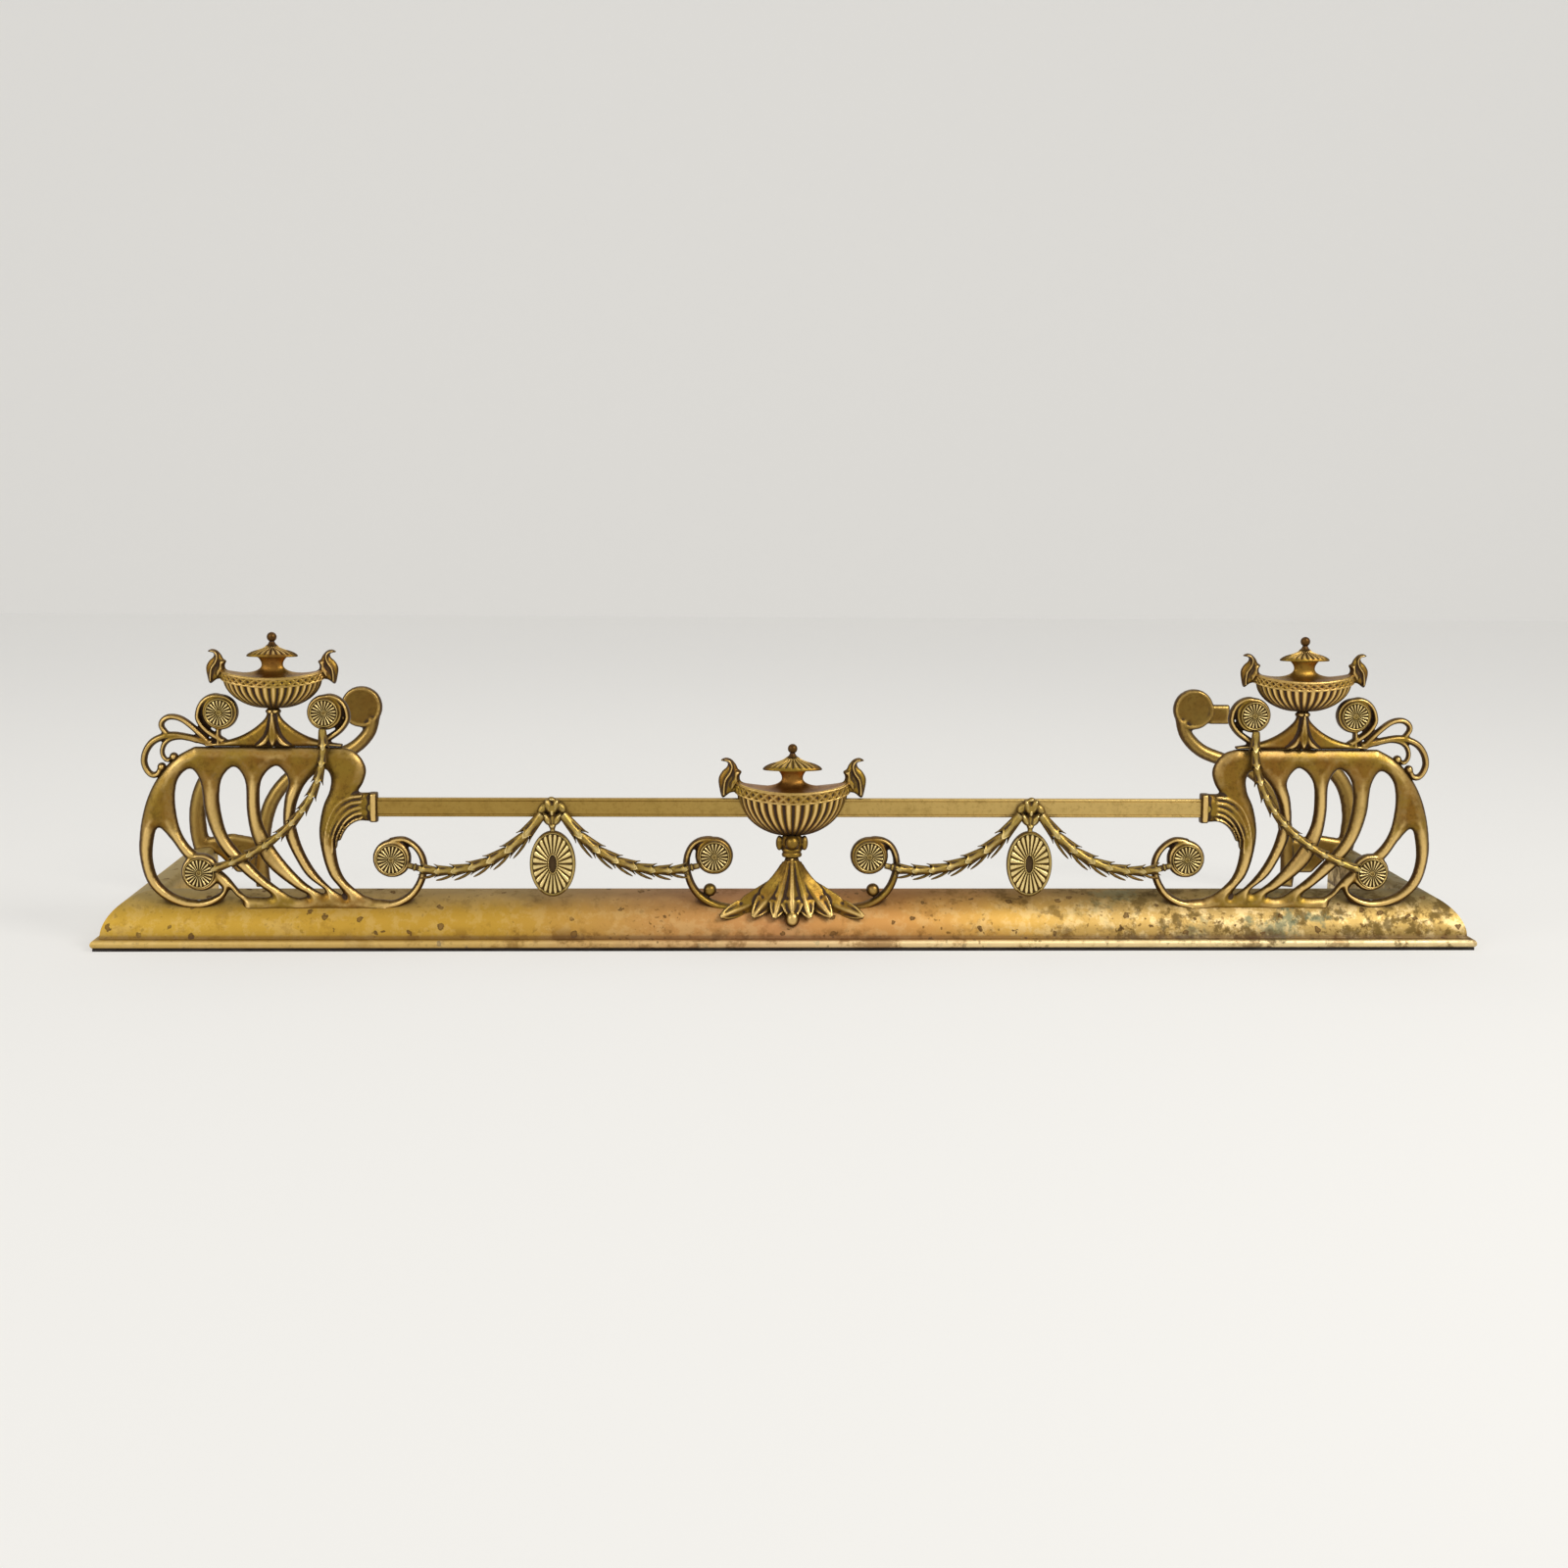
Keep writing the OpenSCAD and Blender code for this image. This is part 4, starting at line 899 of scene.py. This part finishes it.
def lid(name, s):
    r, z, high = s["lid"], s["rim"] + s["neck"], urn["lidPitch"] * s["lid"]
    profile = [(11, z)] + [(r * a, z + high * b) for a, b in urn["lidOutline"]] + [(5.4, z + high)]
    piece = ringForm(name, [(a, a * urn["flat"], b) for a, b in profile], urn["lidFlutes"] * 10)
    p = getPoints(piece)
    turn, reach = spread(p)
    ribbed = (p[:, 2] > z + high * 0.2) & (reach > 6.5)
    fade = np.clip((r * 0.98 - reach) / (r * 0.12), 0, 1)
    ridge = np.abs(np.sin(turn * urn["lidFlutes"] / 2)) ** 0.9
    p[:, 2] -= np.where(ribbed, (1 - ridge) * urn["lidFluteDeep"] * fade, 0)
    intoPlace(piece, p, s)
    # painted highlight on the lid's flute ridges, painted shade in their grooves and on the sides that turn
    # away
    mark(piece, "relief", np.where(ribbed, (ridge ** 1.6 - 0.45) * fade * 1.6, 0.1))
    mark(piece, "tarnish", 0.16 + 0.4 * np.cos(turn) ** 8 * (reach > r * 0.6))
    return piece


def finial(name, s):
    z, r = s["rim"] + s["neck"] + urn["lidPitch"] * s["lid"], urn["finialRadius"]
    rings = [(a, a, z + h) for a, h in urn["finial"]]
    for a in np.radians(np.linspace(-56, 88, 14)):
        rings.append((r * math.cos(a), r * math.cos(a), z + 8.0 + r * math.sin(a)))
    piece = ringForm(name, rings, 32)
    intoPlace(piece, getPoints(piece), s)
    mark(piece, "copper", 0.35)
    mark(piece, "tarnish", 0.45)
    return markWearAndLight(piece, reach=1.6)


def handles(name, s):
    stretch, half = np.array(s["handle"]), urn["handleThick"] / 2
    shapes = [cast([closedCurve(urn["handleEdge"]) * stretch], edge=4.5, tall=half * 0.85),
              cast([closedCurve(urn["handleLobe"]) * stretch], edge=3.6, tall=half * 1.3, low=0.35),
              cast([band(urn["handleRib"], 2.6, 3.4) * stretch], edge=2.2, tall=half * 1.45, low=0.6)]
    outer = standing(castPlate(name, shapes, 0.6), s["x"] + s["radius"], fender["midY"], s["rim"])
    toMiddle = Matrix.Translation((-s["x"] * mm, 0, 0))
    inner = copied(outer, name, toMiddle.inverted() @ flip @ toMiddle)
    return markWearAndLight(joined(name, [outer, inner]), sides=0.9, reach=2.0)


for key, make in {"bowl": bowl, "lid": lid, "finial": finial, "handles": handles}.items():
    pair(make(key + "Left", urn["side"]), "cast_brass", key + "_left")
    dress(make(key + "Centre", urn["centre"]), "cast_brass", key + "_centre")
print("urns turned")

# centre bracket: two scrolls on an acanthus foot
centre = {
    "eye": [77, 91.6], "berry": [81, 57], "berryRadius": 6.6,
    "band": [[40, 36], [58, 38], [74, 41], [88, 48.5], [98, 60], [103.5, 75], [104, 89], [99, 101],
             [90, 107.3], [79, 108.6]],
    "foot": [[7, 90], [8.5, 78], [13, 66], [20, 56], [30, 48], [42, 42], [54, 38], [60, 35], [52, 30],
             [40, 28], [28, 24], [16, 20], [0, 19]],
    "leaves": [  # path and half widths of each blade, right-hand side
        ([(0, -145, 90), (0, -148, 74), (0, -152, 58), (0, -156, 45), (0, -158, 36)],
         [4, 6.5, 9.5, 10.5, 7]),
        ([(3, -145, 87), (6, -147, 72), (10, -150, 56), (14, -154, 43), (17.5, -158.5, 32)],
         [3.6, 7, 9.5, 8.5, 2.8]),
        ([(5, -144, 85), (11, -145, 68), (20, -148, 54), (30, -152, 43), (39, -158, 33)],
         [3.6, 8.5, 11, 9, 2.8]),
        ([(6, -142, 80), (15, -143, 62), (29, -146, 50), (46, -149, 42), (60, -153, 37), (71, -157.5, 33)],
         [3.6, 8.5, 11, 9.5, 7, 2.4])],
    "bladeThick": 2.6, "lobes": 3, "bud": (0, -156.6, 31), "budRadius": 7.6,
    "collar": [(8, 90), (9.6, 90.8), (10.2, 92.4), (9.8, 94), (8.8, 95), (9.6, 95.9), (10.2, 97.2),
               (9.4, 98.8), (7.4, 99.8), (7.4, 106), (8.4, 110), (9, 112)],
    "core": [(6, 98.5), (9.5, 99.6), (11.4, 103), (11, 107), (9.8, 110.5), (9, 112)],
    "bead": (0, -146.4, 105.6), "beadRadius": 7.2, "drop": (12.4, -140, 104.4), "dropRadius": 5,
    "footVoxel": 0.8, "knopVoxel": 0.55, "wearAndPaintedLight": (149, 9),
}


# a leaf blade: a strip along its path with a round rib, sides that fall back, a curled tip and notches
def blade(name, path, widths, rib):
    piece = added(name, bpy.ops.mesh.primitive_grid_add, x_subdivisions=16, y_subdivisions=34, size=2)
    p = getPoints(piece)
    across, along = p[:, 0], (p[:, 1] + 1) / 2
    line = openCurve(path)
    place = np.linspace(0, 1, len(line))
    wide = openCurve([[w, 0] for w in widths])[:, 0]
    spine = np.stack([np.interp(along, place, line[:, k]) for k in range(3)], axis=1)
    run = np.gradient(line, axis=0)
    run /= np.linalg.norm(run, axis=1)[:, None]
    run = np.stack([np.interp(along, place, run[:, k]) for k in range(3)], axis=1)
    side = np.stack([-run[:, 2], np.zeros(len(p)), run[:, 0]], axis=1)
    side /= np.linalg.norm(side, axis=1)[:, None]
    notch = np.clip(1 - np.abs(((along * centre["lobes"]) % 1) - 0.9) * 5, 0, 1)
    notch *= np.clip((along - 0.35) * 3, 0, 1)
    half = np.interp(along, place, wide) * (1 - 0.26 * notch)
    curl = np.clip((along - 0.55) / 0.45, 0, 1)
    lift = rib * np.exp(-(across / 0.30) ** 2) + 2.0 * curl * across ** 4
    lift -= (0.15 + 0.5 * curl) * np.sin(np.abs(across) * math.pi) + (3.4 - 2.2 * curl) * across ** 2
    points = spine + side * (half * across)[:, None]
    points[:, 1] -= lift * np.clip(half / 5, 0.3, 1.2)
    setPoints(piece, points)
    modify(piece, "SOLIDIFY", thickness=centre["bladeThick"], offset=0)
    outwardFaces(piece)
    return piece


def ball(name, place, radius, squeeze=(1, 1, 1)):
    rings = [(radius * math.cos(a), radius * math.cos(a), radius * math.sin(a))
             for a in np.radians(np.linspace(-86, 86, 15))]
    piece = ringForm(name, rings, 28)
    setPoints(piece, getPoints(piece) * squeeze + place)
    return piece


def centreBracket():
    half = fender["castingThick"] / 2
    x, z = centre["eye"]
    foot = openCurve(centre["foot"])
    foot = np.concatenate([foot, foot[::-1] * [-1, 1]])
    shapes = [cast([foot], edge=9, tall=half * 1.1, low=0.2)]
    for s in (1, -1):
        shapes.append(cast([disc((s * x, z), fender["eyeRadius"])], edge=2.5, tall=half, low=0.55))
        shapes.append(cast([band(centre["band"], 10.5, 5.5) * [s, 1]], edge=5, tall=half, low=0.22))
    plate = standing(castPlate("centreBracket", shapes, 1.1), 0, fender["midY"], 0)
    (middlePath, middleWidths), *sideLeaves = centre["leaves"]
    parts = [blade("leaf", middlePath, middleWidths, 1.8)]
    for path, widths in sideLeaves:
        parts += [blade("leaf", [(s * a, b, c) for a, b, c in path], widths, 1.1) for s in (1, -1)]
    x, z = centre["berry"]
    parts += [ball("berry", (s * x, fender["midY"], z), centre["berryRadius"]) for s in (1, -1)]
    parts.append(ball("bud", centre["bud"], centre["budRadius"], (1, 1, 1.06)))
    ornament = joined("centreLeaves", parts)
    ornament.data.transform(Matrix.Scale(mm, 4))
    whole = joined("centreBracket", [plate, ornament])
    weld(whole, centre["footVoxel"] * mm, 1)
    cutFoot(whole, cutter)
    markWearAndLight(whole, sides=0.85, reach=3.2, gain=0.8, dirtAndShadeGain=2.6)
    relief = marked(whole, "relief")
    nearest, deep = centre["wearAndPaintedLight"]  # the tips that stand out are rubbed and given a painted highlight
    forward = np.clip((-getPoints(whole)[:, 1] / mm - nearest) / deep, 0, 1)
    mark(whole, "relief", relief + np.where(relief > -0.1, 0.5 * forward, 0))
    return whole


bracketCentre = centreBracket()
dress(bracketCentre, "cast_brass", "centre_bracket")
print("centre bracket cast", len(bracketCentre.data.polygons))


def knop():
    collar = ringForm("knopCentre", [(r, r, z) for r, z in centre["collar"]], 40)
    setPoints(collar, getPoints(collar) * [1, 0.8, 1] + [0, fender["midY"], 0])
    core = ringForm("core", [(r, r * 0.8, z) for r, z in centre["core"]], 40)
    setPoints(core, getPoints(core) + [0, fender["midY"], 0])
    parts = [collar, core, ball("bead", centre["bead"], centre["beadRadius"])]
    x, y, z = centre["drop"]
    parts += [ball("drop", (s * x, y, z), centre["dropRadius"], (0.72, 0.9, 1.5)) for s in (1, -1)]
    piece = joined("knopCentre", parts)
    piece.data.transform(Matrix.Scale(mm, 4))
    weld(piece, centre["knopVoxel"] * mm, 2)
    softShade(piece)
    return markWearAndLight(piece, sides=0.5, reach=2.0)


dress(knop(), "cast_brass", "knop_centre")

# rosettes, their rivets and the paterae: petals on a disc, modelled once
rosette = {"foot": 15.4, "crest": 14.2, "boss": 3.2, "thick": 5, "rim": 2.3,  # radii of the two sizes
           "petals": 20, "petalRise": 1.9, "petalWide": 0.31,
           "rivetHead": 2.4, "rivetBack": 3.2, "rivetShank": 1.5}
patera = {"half": (22.5, 32.7), "boss": (5.6, 10.8), "thick": 6, "rim": 3.4, "centre": (236, 84.5),
          "petals": 24, "petalRise": 2.0, "petalWide": 0.40}


# a petalled disc lying face up: a plain rim, petals down to an oval boss, and a hollow in the middle
def petalDisc(name, half, boss, s):
    thick, rim, petals = s["thick"], s["rim"], s["petals"]
    rise, wide = s["petalRise"], s["petalWide"]
    rings = [(half[0] - i, half[1] - i, z) for i, z in
             ((0, 0), (0, thick - 1.3), (0.4, thick - 0.5), (1.0, thick - 0.1), (rim - 0.8, thick - 0.3),
              (rim - 0.3, thick - 1.3))]
    floor = thick - 1.6
    for k in range(15):
        rings.append([(a - rim) * (1 - k / 14) + b * k / 14 for a, b in zip(half, boss)] + [floor])
    bossRings = ((0.3, thick - 1.0), (0.8, thick - 0.3), (1.3, thick - 0.4), (1.7, thick - 1.6),
                 (2.1, thick - 2.4))
    rings += [(boss[0] - i, boss[1] - i, z) for i, z in bossRings]
    piece = ringForm(name, rings, petals * 12)
    p = getPoints(piece)
    turn = np.arctan2(p[:, 1] / half[1], p[:, 0] / half[0]) * petals / (2 * math.pi)
    reach = np.hypot(p[:, 0] / half[0], p[:, 1] / half[1])
    inner = (boss[0] / half[0] + boss[1] / half[1]) / 2
    outward = np.clip((reach - inner) / (1 - rim * 0.5 * (1 / half[0] + 1 / half[1]) - inner), 0, 1)
    tip = np.where(outward > 0.90, np.sqrt(np.clip(1 - ((outward - 0.90) / 0.13) ** 2, 0, 1)), 1)
    sideways = np.abs(turn - np.floor(turn) - 0.5) / (wide * tip + 0.01)
    lift = rise * np.sqrt(np.clip(1 - sideways ** 2, 0, 1)) * (0.75 + 0.25 * outward)
    struck = np.abs(p[:, 2] - floor) < 0.02
    wall = p[:, 2] < thick - 1.2
    ridge = np.clip(lift / rise, 0, 1)
    # painted highlight on the petals, rim and boss; painted shade between the petals, in the boss's hollow
    # and on the walls
    mark(piece, "relief", np.select([struck, wall & (reach < inner), wall],
                                    [ridge * 1.5 - 0.52, -0.6, -0.12], 0.4))
    mark(piece, "tarnish", np.where((wall & (reach > inner) & ~struck) | (reach > 0.965), 0.7, 0.0))
    p[:, 2] += np.where(struck, lift, 0)
    setPoints(piece, p)
    softShade(piece, 50)
    return piece


frontEyes = {  # x and z of the left-hand scroll eyes, the rosette's size and its node
    "rosettePanel": (-581, 75, "foot", "panel"),
    "rosetteScroll": (-394, 88.6, "foot", "scroll"),
    "rosetteCentre": (-77, 91.6, "foot", "centre"),
    "rosetteCrestOuter": (-558, 233, "crest", "crest_outer"),
    "rosetteCrestInner": (-457, 233, "crest", "crest_inner"),
}
patterns = {key: petalDisc(key, (rosette[key],) * 2, (rosette["boss"],) * 2, rosette)
            for key in ("foot", "crest")}
for name, (x, z, kind, node) in frontEyes.items():
    piece = standing(copied(patterns[kind], name + "Left"), x, fender["frontY"], z)
    pair(piece, "ornament_brass", f"rosette_{node}_left")
for pattern in patterns.values():
    bpy.data.objects.remove(pattern)


def rivets():
    r, rear, shank = rosette["rivetHead"], rosette["rivetBack"], rosette["rivetShank"]
    back, face = -fender["castingThick"], rosette["thick"] - 1.9
    rings = [(0.4, back - 1.5), (rear * 0.6, back - 1.2), (rear, back), (shank, back + 0.02),
             (shank, face - 0.02), (r, face), (r * 0.96, face + 0.5), (r * 0.7, face + 1.2),
             (0.4, face + 1.5)]
    rivet = ringForm("rivet", [(a, a, z) for a, z in rings], 24)
    placed = [standing(copied(rivet, "rivet"), side * eye[0], fender["frontY"], eye[1])
              for eye in frontEyes.values() for side in (1, -1)]
    bpy.data.objects.remove(rivet)
    piece = joined("rivets", placed)
    softShade(piece, 40)
    mark(piece, "relief", -0.22)  # the heads are darkened: painted shade
    return piece


dress(rivets(), "ornament_brass", "rivets")
x, z = patera["centre"]
oval = petalDisc("pateraRight", patera["half"], patera["boss"], patera)
standing(oval, x, fender["railFrontY"], z)
pair(oval, "ornament_brass", "patera_right")
print("rosettes and paterae struck")

# husk chains
husk = {"steps": 24, "y": -149.8, "rod": 3.1,
        "overlap": 1.05, "tipLong": 1.1}  # lengths of a husk and of a curled tip, as shares of a link's
chains = {  # bezier corners in x and z, husks, plain stretches after them, width at each end, curled tips
    "garland": ([(-458.4, 217.7), (-450.4, 149.7), (-500, 99.8), (-566, 79.8)], 11, 0, (12.5, 11), False),
    "swagOuter": ([(246, 134.1), (289, 72.1), (345.6, 72.3), (377.6, 83.3)], 7, 1, (15.5, 12), True),
    "swagInner": ([(226, 134.1), (183, 72.1), (124, 74.1), (92, 83.1)], 7, 1, (15.5, 12), True),
}


# one husk from z = 0 to 1: a throat that flares to pointed lips, turned in at the end
def huskPattern():
    rings = [(0.12, 0.00), (0.28, 0.01), (0.32, 0.15), (0.36, 0.40), (0.40, 0.65), (0.44, 0.85),
             (0.49, 0.99), (0.54, 1.06), (0.50, 1.07), (0.38, 0.97), (0.12, 0.84)]
    piece = ringForm("husk", [(r, r * 0.92, z) for r, z in rings], husk["steps"])
    p = getPoints(piece)
    turn = np.arctan2(p[:, 1], p[:, 0])
    reach = np.hypot(p[:, 0], p[:, 1])
    lips = np.clip((p[:, 2] - 0.7) / 0.4, 0, 1) * (reach > 0.2)
    p[:, 2] += lips * (0.16 * np.cos(turn * 4) - 0.12)
    crease = np.clip((p[:, 2] - 0.1) / 0.4, 0, 1) * (0.5 - 0.5 * np.cos(turn * 4)) * (reach > 0.15)
    p[:, :2] *= (1 - 0.22 * crease)[:, None]
    setPoints(piece, p)
    # painted highlight on the lips, painted shade in the throat and the creases
    wearAndPaintedLight = 0.5 * np.clip((p[:, 2] - 0.55) / 0.4, 0, 1) - 0.7 * np.clip(1 - p[:, 2] / 0.22, 0, 1)
    mark(piece, "fold", wearAndPaintedLight - 0.5 * crease ** 2)
    return piece


# the curled tip of a leaf, from z = 0 to 1 and bending away along x
def tipPattern():
    piece = ringForm("tip", [(1.0, 1.2, 0), (1.5, 1.7, 0.12), (1.6, 1.7, 0.4), (1.3, 1.4, 0.7),
                             (0.9, 0.9, 0.9), (0.35, 0.35, 1)], 12)
    p = getPoints(piece)
    p[:, 0] += 5.4 * np.sin(p[:, 2] * 1.75) + 0.9 * p[:, 2] ** 6
    setPoints(piece, p)
    mark(piece, "shade", 1)
    return piece


def chain(name, corners, count, rodEnd, widths, tips):
    parts, pattern, curl = [], huskPattern(), tipPattern()
    joints = [bezier(corners, i / (count + rodEnd)) for i in range(count + rodEnd + 1)]
    for i in range(count + rodEnd):
        a, b = joints[i], joints[i + 1]
        run = Vector((b[0] - a[0], 0, b[1] - a[1]))
        wide = widths[0] + (widths[1] - widths[0]) * i / count
        forward = run.normalized()
        down = (Vector((0, 0, -1)) + forward * forward.z).normalized()
        lean = Matrix((down, down.cross(forward) * -1, forward)).transposed().to_4x4()
        put = Matrix.Translation((a[0], husk["y"], a[1])) @ lean
        if i >= count:  # the last stretch is a plain rod with a ring, running on to the rosette
            r = husk["rod"]
            rings = [(r * 0.8, -1), (r, 0), (r, 5), (r * 1.25, 5.6), (r * 1.25, 7), (r, 7.6),
                     (r * 0.95, run.length)]
            piece = ringForm("rod", [(a, a, z) for a, z in rings], 24)
            piece.data.transform(put)
        else:
            size = Matrix.Diagonal((wide, wide, run.length * husk["overlap"], 1))
            piece = copied(pattern, "link", put @ size)
        parts.append(piece)
        if tips and 0 < i < count:
            shift = Matrix.Translation((wide * 0.25, -0.6, -run.length * 0.05))
            size = Matrix.Diagonal((1, 1, run.length * husk["tipLong"], 1))
            parts.append(copied(curl, "tip", put @ shift @ size))
    for spare in (pattern, curl):
        bpy.data.objects.remove(spare)
    piece = joined(name, parts)
    piece.data.transform(Matrix.Scale(mm, 4))
    outwardFaces(piece)
    softShade(piece, 50)
    markWearAndLight(piece, sides=0.8, reach=1.8, gain=0.7)
    relief = marked(piece, "relief") + marked(piece, "fold")
    if tips:  # the curled tips are darkened: painted shade
        shade = marked(piece, "shade")
        relief = relief * (1 - shade) - 0.12 * shade
        mark(piece, "tarnish", np.maximum(marked(piece, "tarnish"), 0.42 * shade))
    mark(piece, "relief", relief)
    return piece


pair(chain("garlandLeft", *chains["garland"]), "ornament_brass", "garland_left")
for name, node in (("swagOuter", "swag_outer_right"), ("swagInner", "swag_inner_right")):
    pair(chain(name + "Right", *chains[name]), "ornament_brass", node)

# bows: a knot of leaves on the rail over a heart, and the lug that carries the patera
bow = {
    "x": 236, "thick": 8,
    "leaves": [  # centre, half sizes, lean in degrees and height of each leaf
        ((-3.2, 2.6), (4.2, 7.4), 14, 1.15), ((4.2, 2.6), (4.2, 7.2), -18, 1.05),
        ((-9.2, 0.2), (4.0, 6.0), -32, 0.85), ((10.2, -0.8), (4.0, 6.0), 34, 0.85),
        ((0.6, 9.0), (3.8, 2.6), 10, 0.8), ((0.4, -4.0), (3.4, 4.4), 0, 1.25),
        ((-5.0, -10.6), (3.9, 6.8), 30, 1.1), ((5.4, -10.8), (3.9, 6.8), -30, 1.1),
        ((0.2, -17.6), (3.6, 3.0), 0, 1.0)],
    "lug": [[-2.5, -23.5], [2.5, -23.5], [2.5, 0], [-2.5, 0]],
}


def leafOval(middle, half, lean):
    turn = np.linspace(0, 2 * math.pi, 32, endpoint=False)
    x, z = half[0] * np.cos(turn), half[1] * np.sin(turn)
    c, s = math.cos(math.radians(lean)), math.sin(math.radians(lean))
    return np.stack([middle[0] + x * c - z * s, middle[1] + x * s + z * c], axis=1)


def bowPiece():
    half = bow["thick"] / 2
    shapes = [cast([leafOval(middle, size, lean)], edge=min(size) * 1.05, tall=half * tall)
              for middle, size, lean, tall in bow["leaves"]]
    shapes.append(cast([bow["lug"]], edge=2.5, tall=half * 0.7, low=0.4))
    piece = standing(castPlate("bowRight", shapes, 0.6), bow["x"], fender["railFrontY"] - half,
                     fender["railZ"])
    return markWearAndLight(piece, sides=0.8, reach=1.8)


pair(bowPiece(), "ornament_brass", "bow_right")
print("chains and bows hung")

# the rail: a flat bar with rounded arrises and a fine line near each
rail = {"end": 419, "low": 130.4, "high": 148.8, "back": -135, "round": 1.4,
        "line": 2.6, "lineHalf": 0.5, "lineDeep": 0.45}


def railPiece():
    low, high, back, r, lineHalf = [rail[key] for key in ("low", "high", "back", "round", "lineHalf")]
    front = fender["railFrontY"]
    section = []
    for y, z, start in ((front + r, low + r, 180), (back - r, low + r, 270), (back - r, high - r, 0),
                        (front + r, high - r, 90)):
        section += [arcPoint(y, z, r, a) for a in np.linspace(start, start + 90, 6)]
    for z in (high - rail["line"], low + rail["line"]):
        section += [(front, z + lineHalf), (front + rail["lineDeep"], z), (front, z - lineHalf)]
    piece = pulledSection("rail", [(-rail["end"] * mm, y * mm, z * mm) for y, z in section])
    softShade(piece, 35)
    mark(piece, "relief", 0)
    return piece


dress(railPiece(), "rail_brass", "rail")

# rear brackets: x from the kerb's lip inwards, z above the hearth
rear = {
    "bands": [  # path, and width at each end
        ([[49, 44], [43, 70], [43, 98], [51, 124], [67, 143], [92, 157], [118, 161], [146, 158],
          [176, 151]], 20, 14),
        ([[113, 8], [111, 30], [113, 58], [117, 84], [125, 106], [140, 126], [162, 143], [190, 153],
          [214, 163], [231, 180], [237, 200]], 17, 15)],
    "head": ([224, 209], 23), "recess": 17.5,
    "tongue": [[183, 192.5], [206, 192.5], [204, 209], [207, 214.5], [183, 214.5]],
    "web": [[60, 46], [66, 42], [84, 24], [112, 24], [112, 62], [80, 68], [44, 62], [44, 46]],
    "thick": 14, "y": 148,
}


def rearShapes():
    half = rear["thick"] / 2
    middle, radius = rear["head"]
    ring = [disc(middle, radius), disc(middle, rear["recess"])]
    return [cast([band(*b)], edge=8.5, tall=half) for b in rear["bands"]] + [
        cast([rear["web"]], edge=6, tall=half * 0.8, low=0.4),
        cast([disc(middle, radius)], edge=3, tall=half * 0.78, low=0.7),
        cast(ring, edge=2.9, tall=half, low=0.4),
        cast([rear["tongue"]], edge=2, tall=half * 0.8, low=0.6)]


rearLeft = standing(castPlate("rearBracketLeft", rearShapes(), 1.4), -fender["halfWidth"], rear["y"], 0)
cutFoot(rearLeft, sideCutter)
markWearAndLight(rearLeft, sides=0.9, reach=4.0)
pair(rearLeft, "bracket_brass", "rear_bracket_left")
print("rear brackets cast", len(rearLeft.data.polygons))

# studio
studio = {"floor": 14, "backdropY": 5.0, "paper": "e9e6df", "worldLevel": 0.5, "seenLevel": 0.66}


def seenRays(finish):  # what the camera, metal and glass look at
    rays = [finish.node("ShaderNodeLightPath", {}, {}, key)
            for key in ("Is Camera Ray", "Is Glossy Ray", "Is Transmission Ray")]
    return rays[0].larger(rays[1]).larger(rays[2])


def paperFinish():
    finish = Finish("paper")
    colour = finish.coats(tint(studio["paper"]), (finish.noise(2.5, 3) * 0.12, "e2dfd8"))
    lit = finish.node("ShaderNodeBsdfDiffuse", {}, {"Color": colour}, "BSDF")
    glow = finish.node("ShaderNodeEmission", {}, {"Color": tint("f4f2ee"), "Strength": 1.0}, "Emission")
    finish.output(finish.node("ShaderNodeMixShader", {}, {0: seenRays(finish) * 0.55, 1: lit, 2: glow}))
    return finish.material


paper = paperFinish()
floor = added("floor", bpy.ops.mesh.primitive_plane_add, size=studio["floor"])
backdrop = added("backdrop", bpy.ops.mesh.primitive_plane_add, size=studio["floor"],
                 location=(0, studio["backdropY"], 0), rotation=(math.pi / 2, 0, 0))
for sheet in (floor, backdrop):
    sheet.data.materials.append(paper)
floor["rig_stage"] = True
backdrop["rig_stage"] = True

lamps = [  # place, target, size, watts
    ((1.9, -1.9, 2.2), (0.1, 0, 0.1), 1.2, 62),
    ((-2.3, -2.0, 1.5), (-0.2, 0, 0.1), 1.6, 24),
    ((-0.3, 1.3, 2.4), (0.0, 0, 0.1), 1.8, 9),
]
for number, (place, target, size, watts) in enumerate(lamps):
    bpy.ops.object.light_add(type="AREA", location=place)
    lamp = bpy.context.object
    lamp.name = f"softLamp{number}"
    lamp.data.size = size
    lamp.data.energy = watts
    lamp.rotation_euler = (Vector(target) - Vector(place)).to_track_quat("-Z", "Y").to_euler()
world = bpy.data.worlds.new("studio")
bpy.context.scene.world = world
air = Finish("air", world)
skies = [air.node("ShaderNodeBackground", {}, {"Color": colour, "Strength": studio[level]}, "Background")
         for colour, level in (((0.95, 0.97, 1.0, 1), "worldLevel"), (tint("fdfbf7"), "seenLevel"))]
air.output(air.node("ShaderNodeMixShader", {}, {0: seenRays(air), 1: skies[0], 2: skies[1]}),
           "ShaderNodeOutputWorld")
bpy.context.scene.view_settings.view_transform = "Standard"
print("studio lit")

# the CAD nodes that stay get their finishes
slots = {part["node"]: part["material_slot"] for part in frame["record"]["subparts"]}
replaced = {n for piece in bpy.data.objects if "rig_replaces" in piece for n in piece["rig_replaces"]}
for name, node in frame["nodes"].items():
    if name not in replaced:
        for place in node.material_slots:
            place.material = finishes[slots[name]]

for tool in (cutter, sideCutter):
    bpy.data.objects.remove(tool)
size = {"cad": [list(cadLow), list(cadHigh)], "visual": [list(v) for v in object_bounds()]}
